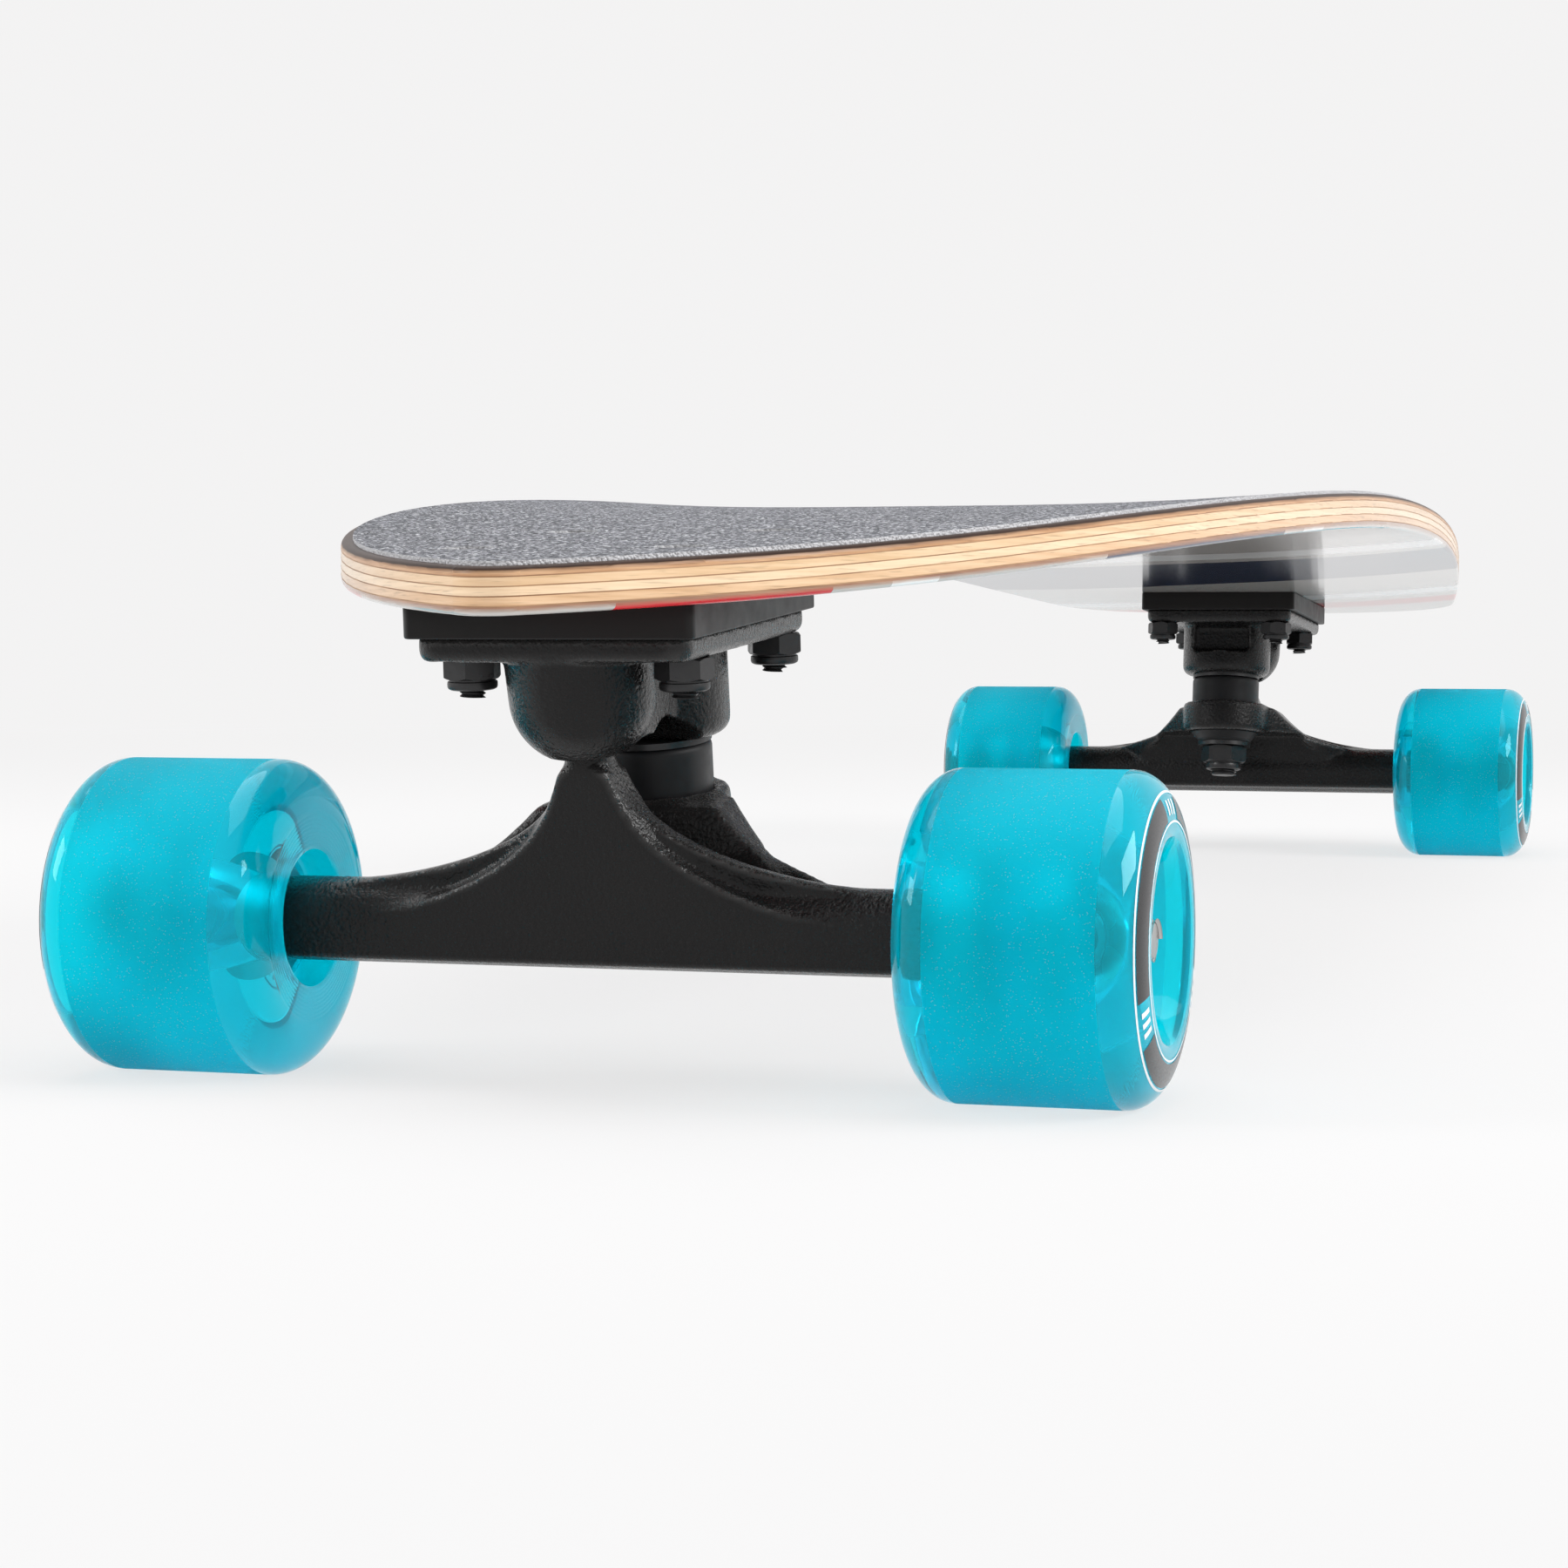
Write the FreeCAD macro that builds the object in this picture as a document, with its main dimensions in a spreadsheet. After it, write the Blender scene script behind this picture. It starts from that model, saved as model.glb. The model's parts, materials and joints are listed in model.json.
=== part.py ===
import FreeCAD, Part
import math
import os
from types import SimpleNamespace

import Sketcher
from FreeCAD import Vector

# Longboard skateboard: a cambered five-ply deck on two sprung trucks and four cast urethane wheels.
# Millimetres. X runs along the board with the pointed tail at -X, Y to the left, Z up from the floor.
# The front truck is the one under the pointed end, the rear truck the one under the blunt end.

SIZES = [
    ("deck_length", 800.0, "tip to blunt end"),
    ("deck_width", 215.0, "widest place"),
    ("widest_station", -60.0, "where the deck is widest, from its middle"),
    ("tail_tip_radius", 10.0, "rounding of the pointed end"),
    ("tail_tip_angle", 52.0, "side of the point against the centre line, degrees"),
    ("tail_taper", 66.0, "how far the tail side runs straight from the point"),
    ("tail_fullness", 190.0, "how far the side stays full towards the tail"),
    ("nose_width", 147.0, "width of the blunt end before its corners are rounded"),
    ("nose_bow_radius", 203.0, "bow of the blunt end"),
    ("nose_corner_radius", 28.0, "rounding of the blunt end's corners"),
    ("deck_tilt", 4.4, "slope of the straight ends that carry the trucks, degrees"),
    ("straight_reach", 37.05, "straight end inward of the bolt pattern, where the arch begins"),
    ("seat_flat_width", 60.0, "flat strip along the middle, where the trucks seat"),
    ("concave_radius", 1050.0, "curl of the sides beyond the flat strip, on the underside"),
    ("ply_thickness", 1.68, "one veneer"),
    ("edge_radius", 1.2, "rounding of the deck's upper and lower edge"),
    ("grip_thickness", 0.8, "grit sheet"),
    ("grip_inset", 2.6, "grit sheet trimmed back from the deck edge"),
    ("truck_setback", 71.4, "centre of a bolt pattern from the end of the deck"),
    ("bolt_spacing_long", 53.98, "bolt pattern along the board"),
    ("bolt_spacing_across", 41.28, "bolt pattern across the board"),
    ("spare_hole_offset", 9.52, "from the outer bolts to the spare pair of holes"),
    ("bolt_diameter", 4.83, "deck bolt"),
    ("bolt_hole_clearance", 0.3, "radial room round a deck bolt"),
    ("bolt_head_diameter", 9.2, "flat head"),
    ("bolt_head_height", 2.4, "countersunk height of the head"),
    ("bolt_stick_out", 1.0, "thread that shows below its nut"),
    ("lock_nut_flats", 9.5, "across flats"),
    ("lock_nut_hex_height", 4.0, "hexagon"),
    ("lock_nut_collar_height", 2.0, "round collar with the locking insert"),
    ("lock_nut_collar_diameter", 8.6, "collar"),
    ("riser_thickness", 6.35, "pad between deck and baseplate"),
    ("riser_inner_reach", 32.6, "from the pattern centre towards the board's middle"),
    ("riser_outer_reach", 42.8, "from the pattern centre towards the board's end"),
    ("riser_width", 55.6, "across the board"),
    ("riser_corner_radius", 2.0, "upright corners"),
    ("plate_thickness", 4.5, "baseplate flange"),
    ("plate_inner_reach", 31.5, "from the pattern centre towards the board's middle"),
    ("plate_outer_reach", 41.5, "from the pattern centre towards the board's end"),
    ("plate_width", 52.4, "across the board"),
    ("plate_corner_radius", 4.0, "upright corners"),
    ("plate_edge_radius", 2.0, "lower edge"),
    ("truck_height", 56.2, "baseplate top to axle, square to the plate"),
    ("axle_offset", 13.8, "axle outward of the pattern centre, along the plate"),
    ("pivot_offset", 24.0, "pivot ball outward of the pattern centre"),
    ("pivot_depth", 14.0, "pivot ball below the baseplate top"),
    ("pivot_lean", 13.6, "pivot stem against the plate's normal, degrees"),
    ("pivot_ball_diameter", 12.0, "nose of the hanger"),
    ("pivot_stem_diameter", 10.4, "stem just under the nose"),
    ("pivot_clearance", 0.06, "nose in its cup"),
    ("cup_wall", 2.8, "urethane round the nose"),
    ("cup_mouth_depth", 6.0, "cup below the ball's centre"),
    ("cup_flare_angle", 16.0, "mouth of the cup, degrees"),
    ("housing_diameter", 27.2, "pivot housing under the baseplate"),
    ("housing_depth", 10.0, "housing below the ball's centre"),
    ("housing_rounding", 12.4, "domed lower end of the housing"),
    ("kingpin_setback", 9.5, "kingpin inward of the pattern centre, at the baseplate top"),
    ("kingpin_lean", 4.0, "kingpin against the plate's normal, degrees"),
    ("kingpin_diameter", 9.52, "shank"),
    ("kingpin_head_flats", 14.3, "across flats, head and nut"),
    ("kingpin_head_height", 6.0, "hexagon head"),
    ("kingpin_head_depth", 8.4, "seat of the head below the baseplate top"),
    ("kingpin_head_room", 0.8, "round pocket beyond the head's corners"),
    ("kingpin_stick_out", 2.0, "thread that shows below the nut"),
    ("kingpin_nut_hex_height", 6.0, "hexagon"),
    ("kingpin_nut_collar_height", 2.6, "round collar"),
    ("kingpin_nut_collar_diameter", 13.0, "round collar"),
    ("boss_diameter", 31.6, "kingpin boss under the baseplate"),
    ("boss_depth", 22.8, "boss below the baseplate top, along the kingpin"),
    ("boss_rounding", 3.0, "lower edge of the boss"),
    ("web_width", 20.0, "wall between housing and boss"),
    ("web_depth", 20.0, "wall below the baseplate top"),
    ("arch_top", 17.5, "crown of the arch in that wall, below the baseplate top"),
    ("arch_station", 6.0, "crown of the arch, outward of the pattern centre"),
    ("arch_radius", 12.0, "arch"),
    ("bushing_diameter", 24.0, "both bushings"),
    ("bushing_clearance", 0.3, "bushing in its cup, radial"),
    ("bushing_bore_clearance", 0.3, "bushing and washers round the kingpin, radial"),
    ("upper_bushing_gap", 9.0, "upper bushing that shows between washer and hanger ring"),
    ("upper_washer_thickness", 1.2, "flat washer under the boss"),
    ("lower_bushing_gap", 3.4, "lower bushing that shows between hanger ring and washer"),
    ("lower_bushing_end_diameter", 18.6, "small end of the conical bushing"),
    ("lower_washer_thickness", 1.4, "flat washer on the nut"),
    ("lower_washer_diameter", 19.0, "flat washer on the nut"),
    ("ring_diameter", 30.4, "hanger ring round the kingpin"),
    ("ring_height", 11.0, "along the kingpin"),
    ("ring_cup_depth", 2.2, "bushing seat in each side of the ring"),
    ("ring_hole_diameter", 13.0, "room for the kingpin to rock in"),
    ("ring_edge_radius", 1.2, "outer edges of the ring"),
    ("hanger_length", 133.0, "between the inner wheel washers"),
    ("arm_diameter", 16.4, "hanger round the axle"),
    ("neck_width", 11.8, "hanger just under the pivot housing"),
    ("neck_height", 31.0, "where the sweep to the arms starts, above the axle"),
    ("neck_drop", 10.1, "top of the neck below the pivot ball's centre, along the stem"),
    ("stem_foot_drop", 8.3, "foot of the narrow stem below the pivot ball's centre"),
    ("stem_foot_diameter", 11.2, "foot of the stem, inside the neck"),
    ("ridge_plain_arm", 1.0, "plain arm outward of the flat front face"),
    ("ridge_height", 30.0, "flat front face, sweep from neck to arm, upright"),
    ("sweep_plain_arm", 1.0, "plain arm outward of the crest behind the front face"),
    ("sweep_height", 23.6, "crest behind the front face, sweep from neck to arm, upright"),
    ("crest_neck_width", 10.8, "crest across the board, at the neck"),
    ("crest_depth", 9.0, "crest along the board, at the neck"),
    ("crest_foot_depth", 3.0, "crest along the board, at the axle"),
    ("web_foot_depth", 15.4, "web along the board, at the axle"),
    ("web_foot", 6.6, "web below the axle"),
    ("flare_width", 24.0, "flare from ring to arm, across"),
    ("bridge_top", 13.0, "saddle between neck and ring, above the axle"),
    ("wing_root", 0.5, "saddle's sides start this far inside the ring"),
    ("wing_shoulder", 1.2, "top of the saddle's falling sides, beyond the ring"),
    ("wing_foot", 6.2, "end of those sides, above the axle"),
    ("wing_hollow", 2.0, "how far those sides are hollowed"),
    ("axle_diameter", 7.94, "steel rod through the hanger"),
    ("axle_length", 207.0, "over both ends"),
    ("axle_chamfer", 0.8, "rod ends"),
    ("axle_clearance", 0.03, "bearings, washers and spacers on the axle, radial"),
    ("axle_nut_flats", 12.7, "across flats"),
    ("axle_nut_hex_height", 5.4, "hexagon"),
    ("axle_nut_collar_height", 2.4, "round collar"),
    ("axle_nut_collar_diameter", 11.4, "round collar"),
    ("washer_thickness", 1.0, "speed washers"),
    ("washer_diameter", 11.6, "speed washers"),
    ("bearing_diameter", 22.0, "outside"),
    ("bearing_width", 7.0, "along the axle"),
    ("inner_race_diameter", 12.1, "shoulder of the inner ring"),
    ("outer_race_diameter", 19.2, "shoulder of the outer ring"),
    ("ball_diameter", 3.97, "bearing ball"),
    ("ball_count", 7, "balls in a bearing"),
    ("groove_clearance", 0.06, "ball in its groove"),
    ("shield_thickness", 0.4, "bearing shield"),
    ("shield_gap", 0.3, "shield to inner ring, radial"),
    ("spacer_length", 10.0, "between the two inner rings"),
    ("spacer_diameter", 11.4, "spacer tube"),
    ("wheel_diameter", 61.0, "over the tread"),
    ("wheel_width", 46.0, "over both lips"),
    ("wheel_inner_recess", 6.8, "inner face down to the bearing"),
    ("wheel_lip_radius", 7.6, "rounded lips"),
    ("wheel_inner_recess_diameter", 26.0, "round the hanger arm"),
    ("wheel_outer_recess_diameter", 37.0, "mouth of the bowl round the nut"),
    ("wheel_bowl_diameter", 25.0, "floor of the bowl round the nut"),
    ("wheel_hub_bore_diameter", 15.0, "between the bearings"),
    ("wheel_edge_radius", 1.2, "rim of each recess"),
]

PLY_COUNT = 5
TURN = 360.0
HALF_TURN = 180.0
SQUARE = 90.0
ACROSS = "rotation(vector(1; 0; 0); -90)"

doc = FreeCAD.newDocument("Longboard")
sheet = doc.addObject("Spreadsheet::Sheet", "Sizes")
for row, (name, value, note) in enumerate(SIZES, start=1):
    sheet.set("A%d" % row, name)
    sheet.set("B%d" % row, str(value))
    sheet.setAlias("B%d" % row, name)
    sheet.set("C%d" % row, note)
doc.recompute()


class Size:
    """A number together with the sheet expression that gives it."""

    def __init__(self, value, text):
        self.value = float(value)
        self.text = text

    def __float__(self):
        return self.value

    def __add__(self, other):
        other = as_size(other)
        return Size(self.value + other.value, "(%s + %s)" % (self.text, other.text))

    def __sub__(self, other):
        other = as_size(other)
        return Size(self.value - other.value, "(%s - %s)" % (self.text, other.text))

    def __mul__(self, other):
        other = as_size(other)
        return Size(self.value * other.value, "(%s * %s)" % (self.text, other.text))

    def __truediv__(self, other):
        other = as_size(other)
        return Size(self.value / other.value, "(%s / %s)" % (self.text, other.text))

    def __neg__(self):
        return Size(-self.value, "(-1 * %s)" % self.text)


def as_size(number):
    return number if isinstance(number, Size) else Size(number, repr(float(number)))


def sine(angle):
    return Size(math.sin(math.radians(float(angle))), "sin(%s)" % angle.text)


def cosine(angle):
    return Size(math.cos(math.radians(float(angle))), "cos(%s)" % angle.text)


def tangent(angle):
    return Size(math.tan(math.radians(float(angle))), "tan(%s)" % angle.text)


d = SimpleNamespace(**{name: Size(sheet.get(name), "Sizes." + name) for name, value, note in SIZES})

# Places that follow from the sizes, built up from the floor.
wheel_radius = d.wheel_diameter / 2
bolt_radius = d.bolt_diameter / 2
bolt_hole_radius = bolt_radius + d.bolt_hole_clearance
axle_radius = d.axle_diameter / 2
axle_bore_radius = axle_radius + d.axle_clearance
hanger_end = d.hanger_length / 2
deck_thickness = d.ply_thickness * PLY_COUNT

tilt_sine = sine(d.deck_tilt)
tilt_cosine = cosine(d.deck_tilt)
pattern_station = d.deck_length / 2 - d.truck_setback
straight_from = pattern_station - d.straight_reach
camber_radius = straight_from / tilt_sine
seat_height = wheel_radius + d.axle_offset * tilt_sine + (d.truck_height + d.riser_thickness) * tilt_cosine
arch_rise = camber_radius - camber_radius * tilt_cosine
apex_height = seat_height + arch_rise + d.straight_reach * tangent(d.deck_tilt)
plate_station = pattern_station - d.riser_thickness * tilt_sine
plate_height = seat_height - d.riser_thickness * tilt_cosine
axle_station = plate_station + d.axle_offset * tilt_cosine - d.truck_height * tilt_sine

# Stations along the axle, outward from the hanger's end.
inner_bearing_from = hanger_end + d.washer_thickness
spacer_from = inner_bearing_from + d.bearing_width
outer_bearing_from = spacer_from + d.spacer_length
outer_washer_from = outer_bearing_from + d.bearing_width
axle_nut_from = outer_washer_from + d.washer_thickness
wheel_inner_face = inner_bearing_from - d.wheel_inner_recess
wheel_outer_face = wheel_inner_face + d.wheel_width

# Stations along the kingpin, down from the baseplate's top.
upper_bushing_top = d.boss_depth + d.upper_washer_thickness
ring_top = upper_bushing_top + d.upper_bushing_gap
ring_bottom = ring_top + d.ring_height
lower_washer_top = ring_bottom + d.lower_bushing_gap
kingpin_nut_top = lower_washer_top + d.lower_washer_thickness
kingpin_end = (kingpin_nut_top + d.kingpin_nut_hex_height + d.kingpin_nut_collar_height
               + d.kingpin_stick_out)


def move(x, y, z, rotation="rotation(0; 0; 0)"):
    """Write a placement expression."""
    corner = "; ".join(as_size(part).text for part in (x, y, z))
    return "placement(vector(%s); %s)" % (corner, rotation)


def pitch(angle, heading=0):
    return "rotation(%s; %s; 0)" % (as_size(heading).text, as_size(angle).text)


def bind(piece, **sizes):
    """Tie properties of a piece to the sheet."""
    for name, value in sizes.items():
        piece.setExpression(name, as_size(value).text)
    return piece


def make(kind, label, place=None, **sizes):
    piece = doc.addObject(kind, label)
    bind(piece, **sizes)
    if place:
        piece.setExpression("Placement", place)
    return piece


def cylinder(label, radius, length, place=None):
    return make("Part::Cylinder", label, place, Radius=radius, Height=length)


def hexagon(label, flats, height, place=None):
    corner_radius = as_size(flats) / math.sqrt(3)
    prism = make("Part::Prism", label, place, Circumradius=corner_radius, Height=height)
    prism.Polygon = 6
    return prism


def fuse(label, pieces, place=None):
    piece = make("Part::MultiFuse", label, place)
    piece.Shapes = pieces
    return piece


def common(label, pieces, place=None):
    piece = make("Part::MultiCommon", label, place)
    piece.Shapes = pieces
    return piece


def cut(label, base, tools, place=None):
    piece = make("Part::Cut", label, place)
    piece.Base = base
    piece.Tool = tools[0] if len(tools) == 1 else group(label + "_tools", tools)
    return piece


def group(label, pieces, place=None):
    piece = make("Part::Compound", label, place)
    piece.Links = pieces
    return piece


def shaped(label, shape, place=None):
    piece = doc.addObject("Part::Feature", label)
    piece.Shape = shape
    if place:
        piece.setExpression("Placement", place)
    return piece


def extruded(label, face, direction):
    piece = doc.addObject("Part::Extrusion", label)
    piece.Base = shaped(label + "_face", face)
    piece.DirMode = "Custom"
    piece.Dir = direction
    piece.LengthFwd = direction.Length
    piece.Solid = True
    return piece


def line(start, end):
    return Part.LineSegment(start, end).toShape()


def face_inside(edges):
    return Part.Face(Part.Wire(Part.sortEdges(edges)[0]))


def polygon_face(points):
    return face_inside([line(start, end) for start, end in zip(points, points[1:] + points[:1])])


def edges_where(shape, test):
    return [index for index, edge in enumerate(shape.Edges, start=1) if test(edge)]


def rounded(label, base, radius, test):
    """Round the edges of a piece that pass a test."""
    doc.recompute()
    piece = doc.addObject("Part::Fillet", label)
    piece.Base = base
    piece.Edges = [(index, float(radius), float(radius)) for index in edges_where(base.Shape, test)]
    return piece


def is_upright(edge):
    ends = [vertex.Point for vertex in edge.Vertexes]
    return len(ends) == 2 and abs((ends[1] - ends[0]).normalize().z) > 0.999


def turned(label, outline, place=None, rounding=()):
    """Turn a closed outline of (radius, height) corners about the piece's own Z axis."""
    body = doc.addObject("PartDesign::Body", label)
    sketch = body.newObject("Sketcher::SketchObject", label + "_outline")
    upright = next(plane for plane in body.Origin.OriginFeatures if plane.Role == "XZ_Plane")
    sketch.AttachmentSupport = [(upright, "")]
    sketch.MapMode = "FlatFace"
    corners = [(as_size(radius), as_size(height)) for radius, height in outline]
    points = [Vector(float(radius), float(height), 0) for radius, height in corners]
    for start, end in zip(points, points[1:] + points[:1]):
        sketch.addGeometry(Part.LineSegment(start, end))
    for index, (radius, height) in enumerate(corners):
        follower = (index + 1) % len(corners)
        sketch.addConstraint(Sketcher.Constraint("Coincident", index, 2, follower, 1))
        if radius.value == 0:
            sketch.addConstraint(Sketcher.Constraint("PointOnObject", index, 1, -2))
        else:
            across = sketch.addConstraint(Sketcher.Constraint("DistanceX", -1, 1, index, 1, radius.value))
            sketch.setExpression("Constraints[%d]" % across, radius.text)
        along = sketch.addConstraint(Sketcher.Constraint("DistanceY", -1, 1, index, 1, height.value))
        sketch.setExpression("Constraints[%d]" % along, height.text)
    turning = body.newObject("PartDesign::Revolution", label + "_turning")
    turning.Profile = sketch
    turning.ReferenceAxis = (sketch, ["V_Axis"])
    turning.Angle = TURN
    for count, (radius, height, size) in enumerate(rounding):
        doc.recompute()
        before = body.Tip
        rims = edges_where(before.Shape, lambda edge: is_rim(edge, radius, height))
        fillet = body.newObject("PartDesign::Fillet", "%s_rounding_%d" % (label, count))
        fillet.Base = (before, ["Edge%d" % index for index in rims])
        bind(fillet, Radius=size)
    if place:
        body.setExpression("Placement", place)
    return body


def is_rim(edge, radius, height):
    """Tell whether an edge is the circle of this radius at this height."""
    if not isinstance(edge.Curve, Part.Circle):
        return False
    near = 0.001
    return abs(edge.Curve.Radius - float(radius)) < near and abs(edge.Curve.Center.z - float(height)) < near


# Deck outline, seen from above.
def mirrored(point):
    return Vector(point.x, -point.y, point.z)


def outline_prism(label, inset):
    """The deck's outline, drawn in by an inset, as an upright block."""
    inset = float(inset)
    half_length = float(d.deck_length) / 2 - inset
    half_width = float(d.deck_width) / 2 - inset
    widest = float(d.widest_station)
    tip_angle = math.radians(float(d.tail_tip_angle))
    tip_radius = float(d.tail_tip_radius) - inset
    tip = Vector(-half_length, 0, 0)
    along, across = math.cos(tip_angle), math.sin(tip_angle)
    tip_side = tip + Vector(tip_radius - tip_radius * across, tip_radius * along, 0)
    taper_end = tip_side + Vector(along, across, 0) * float(d.tail_taper)
    shoulder = Vector(widest, half_width, 0)
    full_end = shoulder - Vector(float(d.tail_fullness), 0, 0)
    tail_side = Part.BezierCurve()
    tail_side.setPoles([tip_side, taper_end, full_end, shoulder])

    bow = float(d.nose_bow_radius) - inset
    nose_half = float(d.nose_width) / 2 - inset
    corner = Vector(half_length - bow + math.sqrt(bow ** 2 - nose_half ** 2), nose_half, 0)
    reach = corner.x - widest
    drop = half_width - nose_half
    side_radius = (reach ** 2 + drop ** 2) / (2 * drop)
    sag = side_radius - math.sqrt(side_radius ** 2 - (reach / 2) ** 2)
    nose_side = Part.Arc(shoulder, Vector(widest + reach / 2, half_width - sag, 0), corner)

    left = [tail_side.toShape(), nose_side.toShape()]
    right = [edge.mirror(Vector(0, 0, 0), Vector(0, 1, 0)) for edge in left]
    tip_arc = Part.Arc(mirrored(tip_side), tip, tip_side).toShape()
    nose_arc = Part.Arc(corner, Vector(half_length, 0, 0), mirrored(corner)).toShape()
    face = face_inside([tip_arc] + left + [nose_arc] + right)
    sharp = extruded(label + "_sharp", face, Vector(0, 0, float(apex_height) * 2))
    return rounded(label, sharp, float(d.nose_corner_radius) - inset,
                   lambda edge: is_upright(edge) and abs(edge.CenterOfMass.x - corner.x) < 0.01)


deck_outline = outline_prism("deck_outline", 0)
grip_outline = outline_prism("grip_outline", d.grip_inset)


def bent_sheet(label, low, high):
    """Bend a sheet that lies between two levels above the deck's underside: arched along, curled across."""
    flat = float(d.seat_flat_width) / 2
    curl = float(d.concave_radius)
    overhang = flat / 2
    swing = math.asin((float(d.deck_width) / 2 - flat + overhang) / curl)

    def curled(level, angle, side):
        radius = curl - level
        return Vector(0, side * (flat + radius * math.sin(angle)), curl - radius * math.cos(angle))

    def level_edges(level):
        left = Part.Arc(curled(level, swing, 1), curled(level, swing / 2, 1), curled(level, 0, 1))
        right = Part.Arc(curled(level, 0, -1), curled(level, swing / 2, -1), curled(level, swing, -1))
        return [left.toShape(), line(curled(level, 0, 1), curled(level, 0, -1)), right.toShape()]

    low, high = float(low), float(high)
    sides = [line(curled(low, swing, side), curled(high, swing, side)) for side in (1, -1)]
    section = face_inside(level_edges(low) + level_edges(high) + sides)
    section.translate(Vector(0, 0, float(apex_height)))
    arch_centre = Vector(0, 0, float(apex_height - camber_radius))
    across = Vector(0, 1, 0)
    tilt = float(d.deck_tilt)
    solids = []
    near_end = section.copy()
    near_end.rotate(arch_centre, across, -tilt)
    solids.append(near_end.revolve(arch_centre, across, 2 * tilt))
    end_length = float(d.deck_length) / 2
    for side in (1, -1):
        end = section.copy()
        end.rotate(arch_centre, across, side * tilt)
        slope = math.radians(tilt)
        solids.append(end.extrude(Vector(side * math.cos(slope), 0, -math.sin(slope)) * end_length))
    return shaped(label, solids[0].fuse(solids[1:]))


def face_slope(face, edge):
    """How much a face looks upward beside the middle of an edge."""
    middle = edge.valueAt((edge.FirstParameter + edge.LastParameter) / 2)
    return face.normalAt(*face.Surface.parameter(middle)).z


def is_rim_of(ply, edge, up):
    """Tell whether an edge joins a ply's upright wall to its upper face, or to its lower one if up is -1."""
    slopes = [face_slope(face, edge) for face in ply.ancestorsOfType(edge, Part.Face)]
    walls = [slope for slope in slopes if abs(slope) < 0.5]
    return len(walls) == 1 and any(slope * up > 0.5 for slope in slopes)


def rounded_rim(label, ply, up):
    return rounded(label, ply, d.edge_radius, lambda edge: is_rim_of(ply.Shape, edge, up))


TRUCKS = {
    "front": (-1, HALF_TURN),
    "rear": (1, 0),
}
BOLT_CORNERS = [(long_side, cross_side) for long_side in (1, -1) for cross_side in (1, -1)]


def truck_place(truck):
    """The frame of a truck: origin on the baseplate's top, X outward along the board, Z off the plate."""
    side, heading = TRUCKS[truck]
    return move(plate_station * side, 0, plate_height, pitch(d.deck_tilt, heading))


def at_truck(truck, place):
    return truck_place(truck) + " * " + place


def bolt_spots():
    for long_side, cross_side in BOLT_CORNERS:
        yield d.bolt_spacing_long * (long_side / 2), d.bolt_spacing_across * (cross_side / 2)


def hole_spots():
    yield from bolt_spots()
    for cross_side in (1, -1):
        yield (d.bolt_spacing_long / 2 + d.spare_hole_offset, d.bolt_spacing_across * (cross_side / 2))


bolt_head_top = d.riser_thickness + deck_thickness
bolt_tip = d.plate_thickness + d.lock_nut_hex_height + d.lock_nut_collar_height + d.bolt_stick_out


def bolt_form(label, room, x, y, place=None):
    """A flat-headed bolt, or with some room the hole that it needs."""
    head_radius = d.bolt_head_diameter / 2 + room
    shank_radius = bolt_radius + room
    outline = [
        (0, -bolt_tip),
        (shank_radius, -bolt_tip),
        (shank_radius, bolt_head_top - d.bolt_head_height),
        (head_radius, bolt_head_top),
        (0, bolt_head_top),
    ]
    return turned(label, outline, place or move(x, y, 0))


deck_drills = []
for truck in TRUCKS:
    for count, (x, y) in enumerate(bolt_spots(), start=1):
        label = "%s_deck_drill_%d" % (truck, count)
        deck_drills.append(bolt_form(label, d.bolt_hole_clearance, x, y, at_truck(truck, move(x, y, 0))))

parts = []
for ply in range(1, PLY_COUNT + 1):
    label = "deck_ply_%d" % ply
    blank = bent_sheet(label + "_blank", d.ply_thickness * (ply - 1), d.ply_thickness * ply)
    trimmed = common(label + "_trimmed", [blank, deck_outline])
    if ply == 1:
        trimmed = rounded_rim(label + "_rounded", trimmed, -1)
    if ply == PLY_COUNT:
        trimmed = rounded_rim(label + "_rounded", trimmed, 1)
    parts.append(cut(label, trimmed, deck_drills))

grip_blank = bent_sheet("grip_blank", deck_thickness, deck_thickness + d.grip_thickness)
grip_trimmed = common("grip_trimmed", [grip_blank, grip_outline])
grip_drills = []
for truck in TRUCKS:
    for count, (x, y) in enumerate(bolt_spots(), start=1):
        label = "%s_grip_drill_%d" % (truck, count)
        place = at_truck(truck, move(x, y, 0))
        head_room = d.bolt_head_diameter / 2 + d.bolt_hole_clearance
        grip_drills.append(cylinder(label, head_room, bolt_head_top + d.grip_thickness * 2, place))
parts.append(cut("grip_tape", grip_trimmed, grip_drills))


# Pieces of a truck that belong to the deck.
def plate_blank(label, inner, outer, width, thickness, bottom, corner_radius):
    box = make("Part::Box", label + "_block", move(-inner, -(width / 2), bottom),
               Length=inner + outer, Width=width, Height=thickness)
    return rounded(label, box, corner_radius, is_upright)


def plate_drills(label, bottom, length):
    return [cylinder("%s_drill_%d" % (label, count), bolt_hole_radius, length, move(x, y, bottom))
            for count, (x, y) in enumerate(hole_spots(), start=1)]


def riser_pad(truck):
    label = truck + "_riser_pad"
    blank = plate_blank(label + "_blank", d.riser_inner_reach, d.riser_outer_reach, d.riser_width,
                        d.riser_thickness, 0, d.riser_corner_radius)
    return cut(label, blank, plate_drills(label, 0, d.riser_thickness), truck_place(truck))


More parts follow.
